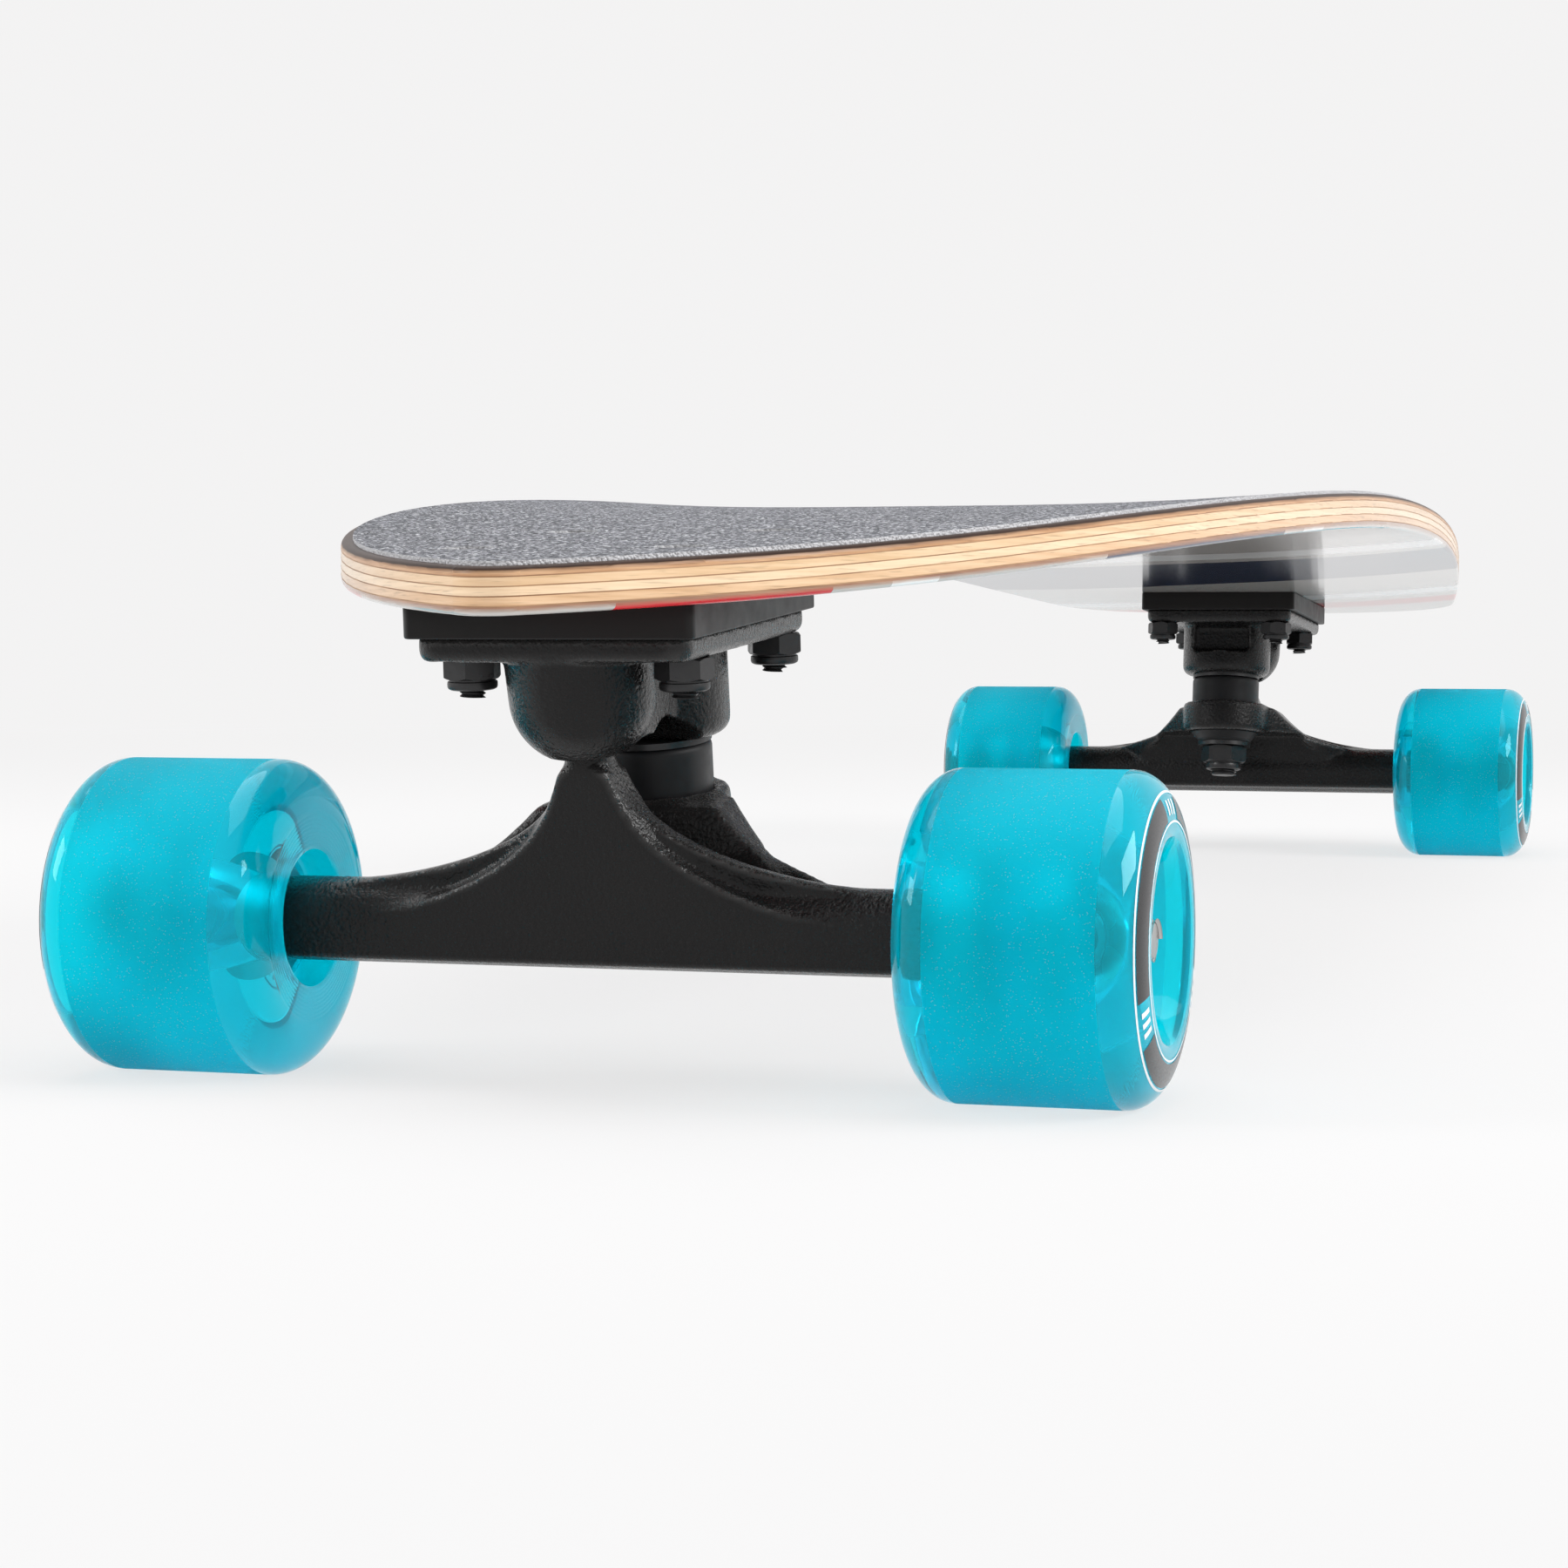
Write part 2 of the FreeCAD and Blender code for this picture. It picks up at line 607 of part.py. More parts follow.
pivot_place = move(d.pivot_offset, 0, -d.pivot_depth, pitch(d.pivot_lean))
kingpin_place = move(-d.kingpin_setback, 0, 0, pitch(d.kingpin_lean))
ball_radius = d.pivot_ball_diameter / 2
socket_radius = ball_radius + d.pivot_clearance
cup_radius = socket_radius + d.cup_wall
cup_top = cup_radius
cup_mouth_radius = socket_radius + d.cup_mouth_depth * tangent(d.cup_flare_angle)
kingpin_radius = d.kingpin_diameter / 2
kingpin_bore_radius = kingpin_radius + d.bushing_bore_clearance


def baseplate(truck):
    """The cast plate with its domed pivot housing, its kingpin boss and the arched wall between them."""
    label = truck + "_baseplate"
    flange = plate_blank(label + "_flange_blank", d.plate_inner_reach, d.plate_outer_reach, d.plate_width,
                         d.plate_thickness, -d.plate_thickness, d.plate_corner_radius)
    flange = rounded(label + "_flange", flange, d.plate_edge_radius,
                     lambda edge: abs(edge.BoundBox.ZMax + float(d.plate_thickness)) < 0.001)
    housing_top = d.pivot_depth / cosine(d.pivot_lean)
    housing = turned(label + "_housing", [
        (0, -d.housing_depth),
        (d.housing_diameter / 2, -d.housing_depth),
        (d.housing_diameter / 2, housing_top),
        (0, housing_top),
    ], pivot_place, [(d.housing_diameter / 2, -d.housing_depth, d.housing_rounding)])
    boss = turned(label + "_boss", [
        (0, -d.boss_depth),
        (d.boss_diameter / 2, -d.boss_depth),
        (d.boss_diameter / 2, d.plate_thickness),
        (0, d.plate_thickness),
    ], kingpin_place, [(d.boss_diameter / 2, -d.boss_depth, d.boss_rounding)])
    wall = make("Part::Box", label + "_wall", move(-d.kingpin_setback, -(d.web_width / 2), -d.web_depth),
                Length=d.kingpin_setback + d.pivot_offset, Width=d.web_width, Height=d.web_depth)
    arch = cylinder(label + "_arch", d.arch_radius, d.plate_width,
                    move(d.arch_station, -(d.plate_width / 2), -(d.arch_top + d.arch_radius), ACROSS))
    arched = cut(label + "_arched", fuse(label + "_boss_and_wall", [boss, wall]), [arch])
    top_room = d.plate_thickness + d.pivot_depth
    plate_length = d.plate_inner_reach + d.plate_outer_reach
    trim = make("Part::Box", label + "_top_trim", move(-d.plate_inner_reach * 2, -d.plate_width, 0),
                Length=plate_length * 2, Width=d.plate_width * 2, Height=top_room)
    cup_seat = turned(label + "_cup_seat", [
        (0, -d.housing_depth),
        (cup_mouth_radius, -d.housing_depth),
        (cup_mouth_radius, -d.cup_mouth_depth),
        (cup_radius, -d.cup_mouth_depth),
        (cup_radius, cup_top),
        (0, cup_top),
    ], pivot_place)
    head_pocket_radius = d.kingpin_head_flats / math.sqrt(3) + d.kingpin_head_room
    head_pocket = cylinder(label + "_head_pocket", head_pocket_radius, d.kingpin_head_depth * 2,
                           kingpin_place + " * " + move(0, 0, -d.kingpin_head_depth))
    shank_hole = cylinder(label + "_shank_hole", kingpin_radius, d.boss_depth * 2,
                          kingpin_place + " * " + move(0, 0, -(d.boss_depth * 2)))
    drills = plate_drills(label, -d.plate_thickness, d.plate_thickness)
    casting = fuse(label + "_casting", [flange, housing, arched])
    return cut(label, casting, [trim, cup_seat, head_pocket, shank_hole] + drills, truck_place(truck))


def pivot_cup(truck):
    """Urethane cup: round socket above the ball's centre, flared mouth below it."""
    label = truck + "_pivot_cup"
    blank = turned(label + "_blank", [
        (0, -d.cup_mouth_depth),
        (cup_radius, -d.cup_mouth_depth),
        (cup_radius, cup_top),
        (0, cup_top),
    ])
    socket = make("Part::Sphere", label + "_socket", None, Radius=socket_radius)
    mouth = make("Part::Cone", label + "_mouth", move(0, 0, -d.cup_mouth_depth), Radius1=cup_mouth_radius,
                 Radius2=socket_radius, Height=d.cup_mouth_depth)
    return cut(label, blank, [socket, mouth], at_truck(truck, pivot_place))


def on_kingpin(truck):
    return at_truck(truck, kingpin_place)


def kingpin(truck):
    label = truck + "_kingpin"
    head = hexagon(label + "_head", d.kingpin_head_flats, d.kingpin_head_height,
                   move(0, 0, -d.kingpin_head_depth))
    shank = cylinder(label + "_shank", kingpin_radius, kingpin_end - d.kingpin_head_depth,
                     move(0, 0, -kingpin_end))
    return fuse(label, [head, shank], on_kingpin(truck))


def locking_nut(label, flats, hex_height, collar_diameter, collar_height, bore_radius, place=None):
    """A nut that hangs down from its seat: hexagon first, round collar below."""
    total = hex_height + collar_height
    hexagon_block = hexagon(label + "_hexagon", flats, hex_height, move(0, 0, -hex_height))
    collar = cylinder(label + "_collar", collar_diameter / 2, collar_height, move(0, 0, -total))
    bore = cylinder(label + "_bore", bore_radius, total, move(0, 0, -total))
    return cut(label, fuse(label + "_blank", [hexagon_block, collar]), [bore], place)


def kingpin_nut(truck):
    return locking_nut(truck + "_kingpin_nut", d.kingpin_head_flats, d.kingpin_nut_hex_height,
                       d.kingpin_nut_collar_diameter, d.kingpin_nut_collar_height, kingpin_radius,
                       on_kingpin(truck) + " * " + move(0, 0, -kingpin_nut_top))


def tube_outline(bore, outer, low, high):
    return [(bore, low), (outer, low), (outer, high), (bore, high)]


def upper_bushing(truck):
    bottom = ring_top + d.ring_cup_depth
    outline = tube_outline(kingpin_bore_radius, d.bushing_diameter / 2, -bottom, -upper_bushing_top)
    return turned(truck + "_upper_bushing", outline, on_kingpin(truck))


def lower_bushing(truck):
    top = ring_bottom - d.ring_cup_depth
    return turned(truck + "_lower_bushing", [
        (kingpin_bore_radius, -lower_washer_top),
        (d.lower_bushing_end_diameter / 2, -lower_washer_top),
        (d.bushing_diameter / 2, -ring_bottom),
        (d.bushing_diameter / 2, -top),
        (kingpin_bore_radius, -top),
    ], on_kingpin(truck))


def bushing_washers(truck):
    label = truck + "_bushing_washers"
    upper = turned(label + "_upper", tube_outline(kingpin_bore_radius, d.bushing_diameter / 2,
                                                  -upper_bushing_top, -d.boss_depth))
    lower = turned(label + "_lower", tube_outline(kingpin_bore_radius, d.lower_washer_diameter / 2,
                                                  -kingpin_nut_top, -lower_washer_top))
    return group(label, [upper, lower], on_kingpin(truck))


def deck_bolts(truck):
    label = truck + "_deck_bolts"
    bolts = [bolt_form("%s_%d" % (label, count), as_size(0), x, y)
             for count, (x, y) in enumerate(bolt_spots(), start=1)]
    return group(label, bolts, truck_place(truck))


def deck_lock_nuts(truck):
    label = truck + "_deck_lock_nuts"
    nuts = [locking_nut("%s_%d" % (label, count), d.lock_nut_flats, d.lock_nut_hex_height,
                        d.lock_nut_collar_diameter, d.lock_nut_collar_height, bolt_radius,
                        move(x, y, -d.plate_thickness))
            for count, (x, y) in enumerate(bolt_spots(), start=1)]
    return group(label, nuts, truck_place(truck))


# The hanger, in the truck's frame. Points are given from the axle's centre.
def from_axle(x, y, z):
    return Vector(float(d.axle_offset) + x, y, z - float(d.truck_height))


def quarter_ellipse(start, end, corner):
    """A quarter of an ellipse from start to end, tangent at both to the lines through the corner."""
    pull = 4 / 3 * (math.sqrt(2) - 1)
    curve = Part.BezierCurve()
    curve.setPoles([start, start + (corner - start) * pull, end + (corner - end) * pull, end])
    return curve.toShape()


stem_top = d.truck_height - d.pivot_depth - d.neck_drop * cosine(d.pivot_lean)
neck_top = stem_top - d.neck_width / 2 * tangent(d.pivot_lean)
arm_radius = d.arm_diameter / 2
ring_radius = d.ring_diameter / 2


def stem_station(height):
    """Where the pivot stem's centre line stands along the board, at a height above the axle."""
    drop = float(d.truck_height - d.pivot_depth) - float(height)
    return float(d.pivot_offset - d.axle_offset) - drop * math.tan(math.radians(float(d.pivot_lean)))


def swept_web_face(neck_width, plain_arm, sweep_height):
    """Front view: a neck that sweeps out to both arms and stands on a straight foot."""
    neck = float(neck_width) / 2
    top = float(neck_top)
    start = float(d.neck_height)
    low = start - float(sweep_height)
    reach = float(hanger_end - plain_arm)
    foot = -float(d.web_foot)
    edges = [line(from_axle(0, neck, top), from_axle(0, -neck, top)),
             line(from_axle(0, reach, foot), from_axle(0, -reach, foot))]
    for side in (1, -1):
        neck_foot = from_axle(0, side * neck, start)
        sweep_end = from_axle(0, side * reach, low)
        edges.append(line(from_axle(0, side * neck, top), neck_foot))
        edges.append(quarter_ellipse(neck_foot, sweep_end, from_axle(0, side * neck, low)))
        edges.append(line(sweep_end, from_axle(0, side * reach, foot)))
    return face_inside(edges)


def web_side_face(foot_depth, neck_depth):
    """Side view: a strip along the pivot stem."""
    half_foot = float(foot_depth) / 2
    half_neck = float(neck_depth) / 2
    top = float(neck_top)
    foot = -float(d.web_foot)
    across = -float(hanger_end)
    return polygon_face([
        from_axle(half_foot, across, foot),
        from_axle(half_foot, across, 0),
        from_axle(stem_station(top) + half_neck, across, top),
        from_axle(stem_station(top) - half_neck, across, top),
        from_axle(-half_foot, across, 0),
        from_axle(-half_foot, across, foot),
    ])


def web(label, neck_width, plain_arm, sweep_height, foot_depth, neck_depth):
    """Where the front view and the side view meet."""
    room = float(d.hanger_length)
    front_face = swept_web_face(neck_width, plain_arm, sweep_height)
    front_face.translate(Vector(-room / 2, 0, 0))
    front = extruded(label + "_front_view", front_face, Vector(room, 0, 0))
    side = extruded(label + "_side_view", web_side_face(foot_depth, neck_depth), Vector(0, room, 0))
    return common(label, [front, side])


def kingpin_point(depth, outward=0):
    """A point in the hanger's middle plane, at a depth along the kingpin and a step outward from it."""
    lean = math.radians(float(d.kingpin_lean))
    head = Vector(-float(d.kingpin_setback), 0, 0)
    downward = Vector(-math.sin(lean), 0, -math.cos(lean))
    sideways = Vector(math.cos(lean), 0, -math.sin(lean))
    return head + downward * float(depth) + sideways * float(outward)


def wing_face():
    """Front view of the saddle: the ring's shoulders fall to the arms in hollow sides."""
    shoulder = float(ring_radius + d.wing_shoulder)
    shoulder_height = float(d.truck_height) + kingpin_point(ring_top).z
    reach = float(ring_radius + d.flare_width)
    low = float(d.wing_foot)
    floor = -float(d.truck_height)
    edges = [line(from_axle(0, shoulder, shoulder_height), from_axle(0, -shoulder, shoulder_height)),
             line(from_axle(0, reach, floor), from_axle(0, -reach, floor))]
    for side in (1, -1):
        start = from_axle(0, side * shoulder, shoulder_height)
        end = from_axle(0, side * reach, low)
        chord_middle = (start + end) / 2
        inward = (from_axle(0, side * shoulder, low) - chord_middle).normalize()
        edges.append(Part.Arc(start, chord_middle + inward * float(d.wing_hollow), end).toShape())
        edges.append(line(end, from_axle(0, side * reach, floor)))
    return face_inside(edges)


def bridge(label):
    """The saddle from the ring to the arms: a flared plan cut to its side view and its front view."""
    ring_centre = kingpin_point(ring_top + d.ring_height / 2)
    half_ring = float(ring_radius)
    root = half_ring - float(d.wing_root)
    flare_end = half_ring + float(d.flare_width)
    arm = float(arm_radius)
    axle_x = float(d.axle_offset)
    floor = -2 * float(d.truck_height)
    flare_x = axle_x - arm / 2
    edges = [line(Vector(ring_centre.x, root, floor), Vector(ring_centre.x, -root, floor)),
             line(Vector(axle_x, flare_end, floor), Vector(axle_x, -flare_end, floor))]
    for side in (1, -1):
        end = Vector(flare_x, side * flare_end, floor)
        edges.append(line(Vector(ring_centre.x, side * root, floor), end))
        edges.append(line(end, Vector(axle_x, side * flare_end, floor)))
    plan = extruded(label + "_plan", face_inside(edges), Vector(0, 0, -floor))

    across = Vector(0, -flare_end, 0)
    rim_drop = float(d.ring_cup_depth) / 2
    points = [
        kingpin_point(ring_top + rim_drop),
        kingpin_point(ring_top + rim_drop, half_ring),
        from_axle(-arm, 0, float(d.bridge_top)),
        from_axle(0, 0, arm / 2),
        from_axle(0, 0, -arm),
        from_axle(-arm / 2, 0, -float(d.web_foot)),
        kingpin_point(ring_bottom - rim_drop, half_ring),
        kingpin_point(ring_bottom - rim_drop),
    ]
    side = extruded(label + "_side", polygon_face([point + across for point in points]),
                    Vector(0, 2 * flare_end, 0))
    front_face = wing_face()
    front_face.translate(Vector(-float(d.hanger_length) / 2, 0, 0))
    front = extruded(label + "_front", front_face, Vector(float(d.hanger_length), 0, 0))
    return common(label, [plan, side, front])


def hanger(truck):
    """The cast hanger: arms round the axle, a swept web up to the pivot nose and a ring round the kingpin."""
    label = truck + "_hanger"
    arms = cylinder(label + "_arms", arm_radius, d.hanger_length,
                    move(d.axle_offset, -hanger_end, -d.truck_height, ACROSS))
    face_web = web(label + "_face_web", d.neck_width, d.ridge_plain_arm, d.ridge_height,
                   d.web_foot_depth, d.neck_width)
    crest_web = web(label + "_crest_web", d.crest_neck_width, d.sweep_plain_arm, d.sweep_height,
                    d.crest_foot_depth, d.crest_depth)
    stem_foot = d.neck_drop + d.neck_width / 2
    nose = turned(label + "_nose", [
        (0, -stem_foot),
        (d.stem_foot_diameter / 2, -stem_foot),
        (d.stem_foot_diameter / 2, -d.neck_drop),
        (d.pivot_stem_diameter / 2, -d.stem_foot_drop),
        (d.pivot_stem_diameter / 2, 0),
        (0, 0),
    ], pivot_place)
    ball = make("Part::Sphere", label + "_ball", pivot_place, Radius=ball_radius)
    ring = turned(label + "_ring", [
        (0, -ring_bottom),
        (ring_radius, -ring_bottom),
        (ring_radius, -ring_top),
        (0, -ring_top),
    ], kingpin_place, [(ring_radius, level, d.ring_edge_radius) for level in (-ring_bottom, -ring_top)])
    saddle = bridge(label + "_bridge")
    casting = fuse(label + "_casting", [arms, face_web, crest_web, saddle, nose, ball, ring])
    seat_radius = d.bushing_diameter / 2 + d.bushing_clearance
    upper_seat = cylinder(label + "_upper_seat", seat_radius, d.ring_cup_depth + d.upper_bushing_gap,
                          kingpin_place + " * " + move(0, 0, -(ring_top + d.ring_cup_depth)))
    lower_seat = cylinder(label + "_lower_seat", seat_radius, kingpin_end - ring_bottom + d.ring_cup_depth,
                          kingpin_place + " * " + move(0, 0, -kingpin_end))
    hole = cylinder(label + "_hole", d.ring_hole_diameter / 2, d.ring_height,
                    kingpin_place + " * " + move(0, 0, -ring_bottom))
    bore = cylinder(label + "_axle_bore", axle_radius, d.hanger_length,
                    move(d.axle_offset, -hanger_end, -d.truck_height, ACROSS))
    return cut(label, casting, [upper_seat, lower_seat, hole, bore], truck_place(truck))


# Pieces on the axle. A wheel's frame has Z along the axle, outward from the board's middle.
WHEEL_SIDES = {"left": -SQUARE, "right": SQUARE}


def wheel_place(truck, side):
    turn = "rotation(vector(1; 0; 0); %r)" % WHEEL_SIDES[side]
    return move(axle_station * TRUCKS[truck][0], 0, wheel_radius, turn)


def axle(truck):
    half = d.axle_length / 2
    tip_radius = axle_radius - d.axle_chamfer
    return turned(truck + "_axle", [
        (0, -half),
        (tip_radius, -half),
        (axle_radius, -(half - d.axle_chamfer)),
        (axle_radius, half - d.axle_chamfer),
        (tip_radius, half),
        (0, half),
    ], wheel_place(truck, "left"))


def axle_nuts(truck):
    label = truck + "_axle_nuts"
    upside_down = "rotation(vector(1; 0; 0); 180)"
    nuts = [locking_nut("%s_%s" % (label, side), d.axle_nut_flats, d.axle_nut_hex_height,
                        d.axle_nut_collar_diameter, d.axle_nut_collar_height, axle_radius,
                        wheel_place(truck, side) + " * " + move(0, 0, axle_nut_from, upside_down))
            for side in WHEEL_SIDES]
    return group(label, nuts)


def speed_washers(truck):
    label = truck + "_speed_washers"
    washers = []
    for side in WHEEL_SIDES:
        for where, start in (("inner", hanger_end), ("outer", outer_washer_from)):
            outline = tube_outline(axle_bore_radius, d.washer_diameter / 2, start, start + d.washer_thickness)
            washers.append(turned("%s_%s_%s" % (label, side, where), outline, wheel_place(truck, side)))
    return group(label, washers)


def wheel(label, place):
    """Cast urethane: round lips, a shallow recess inside, a bowl outside, a bearing seat at each end."""
    seat = d.bearing_diameter / 2
    hub = d.wheel_hub_bore_diameter / 2
    inner_mouth = d.wheel_inner_recess_diameter / 2
    outer_mouth = d.wheel_outer_recess_diameter / 2
    outline = [
        (inner_mouth, wheel_inner_face),
        (wheel_radius, wheel_inner_face),
        (wheel_radius, wheel_outer_face),
        (outer_mouth, wheel_outer_face),
        (d.wheel_bowl_diameter / 2, outer_washer_from),
        (seat, outer_washer_from),
        (seat, outer_bearing_from),
        (hub, outer_bearing_from),
        (hub, spacer_from),
        (seat, spacer_from),
        (seat, inner_bearing_from),
        (inner_mouth, inner_bearing_from),
    ]
    return turned(label, outline, place, [
        (wheel_radius, wheel_inner_face, d.wheel_lip_radius),
        (wheel_radius, wheel_outer_face, d.wheel_lip_radius),
        (inner_mouth, wheel_inner_face, d.wheel_edge_radius),
        (outer_mouth, wheel_outer_face, d.wheel_edge_radius),
    ])


BEARINGS = {"inner": inner_bearing_from, "outer": outer_bearing_from}
ball_pitch_radius = (d.inner_race_diameter + d.outer_race_diameter) / 4
race_radius = d.ball_diameter / 2


def grooved_rings(label, bore, outside, place):
    """Two bearing rings, each with a round groove for its balls."""
    rings = []
    for where, start in BEARINGS.items():
        name = "%s_%s" % (label, where)
        blank = turned(name + "_blank", tube_outline(bore, outside, start, start + d.bearing_width))
        groove = make("Part::Torus", name + "_groove", move(0, 0, start + d.bearing_width / 2),
                      Radius1=ball_pitch_radius, Radius2=race_radius + d.groove_clearance)
        rings.append(cut(name, blank, [groove]))
    return group(label, rings, place)


def bearing_balls(label, place):
    balls = []
    for where, start in BEARINGS.items():
        for count in range(int(float(d.ball_count))):
            angle = math.radians(TURN * count / float(d.ball_count))
            spot = move(ball_pitch_radius * math.cos(angle), ball_pitch_radius * math.sin(angle),
                        start + d.bearing_width / 2)
            balls.append(make("Part::Sphere", "%s_%s_%d" % (label, where, count), spot, Radius=race_radius))
    return group(label, balls, place)


def bearing_shields(label, place):
    shields = []
    inside = d.inner_race_diameter / 2 + d.shield_gap
    outside = d.outer_race_diameter / 2
    for where, start in BEARINGS.items():
        for end, low in (("near", start), ("far", start + d.bearing_width - d.shield_thickness)):
            outline = tube_outline(inside, outside, low, low + d.shield_thickness)
            shields.append(turned("%s_%s_%s" % (label, where, end), outline))
    return group(label, shields, place)


def bearing_spacer(label, place):
    outline = tube_outline(axle_bore_radius, d.spacer_diameter / 2, spacer_from, outer_bearing_from)
    return turned(label, outline, place)


TRUCK_PIECES = [riser_pad, baseplate, pivot_cup, kingpin, kingpin_nut, upper_bushing, lower_bushing,
                bushing_washers, deck_bolts, deck_lock_nuts, hanger, axle, axle_nuts, speed_washers]
for truck in TRUCKS:
    parts.extend(piece(truck) for piece in TRUCK_PIECES)
    for side in WHEEL_SIDES:
        corner = "%s_%s" % (truck, side)
        place = wheel_place(truck, side)
        parts.append(wheel(corner + "_wheel", place))
        parts.append(grooved_rings(corner + "_bearing_outer_rings", d.outer_race_diameter / 2,
                                   d.bearing_diameter / 2, place))
        parts.append(grooved_rings(corner + "_bearing_inner_rings", axle_bore_radius,
                                   d.inner_race_diameter / 2, place))
        parts.append(bearing_balls(corner + "_bearing_balls", place))
        parts.append(bearing_shields(corner + "_bearing_shields", place))
        parts.append(bearing_spacer(corner + "_bearing_spacer", place))

doc.recompute()
for item in doc.Objects:
    if "Invalid" in item.State or "Error" in item.State:
        raise RuntimeError("%s did not build: %s" % (item.Label, item.State))
for piece in parts:
    if piece.Shape.isNull() or not piece.Shape.isValid():
        raise RuntimeError("%s has no sound shape" % piece.Label)
os.makedirs("parts", exist_ok=True)
for piece in parts:
    piece.Shape.exportStep("parts/%s.step" % piece.Label)
    print("%-34s %2d solids %12.2f mm3" % (piece.Label, len(piece.Shape.Solids), piece.Shape.Volume))
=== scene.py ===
# %% [markdown]
# # Dressing a longboard
# The solids of the board come in first, as a frame that never moves. Everything that follows either
# gives one of those solids a better surface or puts a finer piece in its place. The dressed board
# must not grow out of it.

# %% Load the frame
import json
import math

import bmesh
import bpy
from mathutils import Matrix, Vector


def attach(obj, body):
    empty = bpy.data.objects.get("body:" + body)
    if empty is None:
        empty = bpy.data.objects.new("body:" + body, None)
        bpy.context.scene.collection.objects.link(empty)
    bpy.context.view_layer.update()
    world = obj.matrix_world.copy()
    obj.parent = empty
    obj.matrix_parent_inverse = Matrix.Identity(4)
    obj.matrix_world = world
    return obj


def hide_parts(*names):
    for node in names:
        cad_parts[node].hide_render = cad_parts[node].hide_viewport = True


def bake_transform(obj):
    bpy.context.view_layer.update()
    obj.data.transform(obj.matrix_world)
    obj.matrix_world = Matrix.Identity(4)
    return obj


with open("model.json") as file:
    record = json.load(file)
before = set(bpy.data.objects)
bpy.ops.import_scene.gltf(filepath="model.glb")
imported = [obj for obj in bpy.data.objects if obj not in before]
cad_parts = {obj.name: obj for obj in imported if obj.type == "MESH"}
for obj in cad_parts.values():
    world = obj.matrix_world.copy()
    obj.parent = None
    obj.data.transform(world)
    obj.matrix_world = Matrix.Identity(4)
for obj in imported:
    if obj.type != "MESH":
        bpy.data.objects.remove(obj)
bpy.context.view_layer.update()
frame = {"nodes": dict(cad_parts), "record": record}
nodes = frame["nodes"]

# %% [markdown]
# ## Camera
# A camera can be aimed with a constraint, but here its place and its turn are known, so its axes are
# written straight into its matrix: it looks along -Z, with X to the right and Y up. It stands low and
# close to the pointed end, with a longish lens.

# %% Camera
CAMERA_PLACE = Vector((-0.94681, -0.22441, 0.08905))
CAMERA_YAW = 0.3027
CAMERA_PITCH = -0.0493
CAMERA_ROLL = 0.0012
CAMERA_LENS = 79.67

lens = bpy.data.cameras.new("camera")
lens.lens = CAMERA_LENS
camera = bpy.data.objects.new("camera", lens)
bpy.context.scene.collection.objects.link(camera)
look = Vector((math.cos(CAMERA_YAW) * math.cos(CAMERA_PITCH),
               math.sin(CAMERA_YAW) * math.cos(CAMERA_PITCH), math.sin(CAMERA_PITCH)))
level = Vector((math.sin(CAMERA_YAW), -math.cos(CAMERA_YAW), 0))
below = look.cross(level)
right = level * math.cos(CAMERA_ROLL) + below * math.sin(CAMERA_ROLL)
up = right.cross(look)
camera.matrix_world = Matrix.Translation(CAMERA_PLACE) @ Matrix((right, up, -look)).transposed().to_4x4()
bpy.context.scene.camera = camera
print("camera looks along", tuple(round(c, 3) for c in look))

# %% [markdown]
# ## Studio
# Every material below is a small tree of shader nodes. Such trees can be wired by hand, but the same few
# nodes come again and again, so a helper with one method for each of them keeps a material short enough
# to read at a glance.

# %% Node helpers
def feed(tree_links, socket, value):
    """Link a socket, or set its constant."""
    if isinstance(value, bpy.types.NodeSocket):
        tree_links.new(value, socket)
    else:
        socket.default_value = value


class Tree:
    """The node tree of a material or a world, emptied but for its output."""

    def __init__(self, owner, output_kind):
        owner.use_nodes = True
        self.nodes, self.links = owner.node_tree.nodes, owner.node_tree.links
        self.nodes.clear()
        self.output = self.nodes.new(output_kind)

    def node(self, kind, values=None, **settings):
        made = self.nodes.new(kind)
        for name, value in settings.items():
            setattr(made, name, value)
        for socket, value in (values or {}).items():
            feed(self.links, made.inputs[socket], value)
        return made

    def math(self, operation, first, second=0.0):
        return self.node("ShaderNodeMath", {0: first, 1: second}, operation=operation).outputs[0]

    def seen(self):
        """1 for a ray from the eye, and for one that was mirrored or let through."""
        ray = self.node("ShaderNodeLightPath").outputs
        passed_on = self.math("MAXIMUM", ray["Is Glossy Ray"], ray["Is Transmission Ray"])
        return self.math("MAXIMUM", ray["Is Camera Ray"], passed_on)

    def blended(self, factor, first, second):
        """Two shaders in a mix, on the surface."""
        mixed = self.node("ShaderNodeMixShader", {
            "Fac": factor, 1: first.outputs[0], 2: second.outputs[0]})
        self.links.new(mixed.outputs[0], self.output.inputs["Surface"])


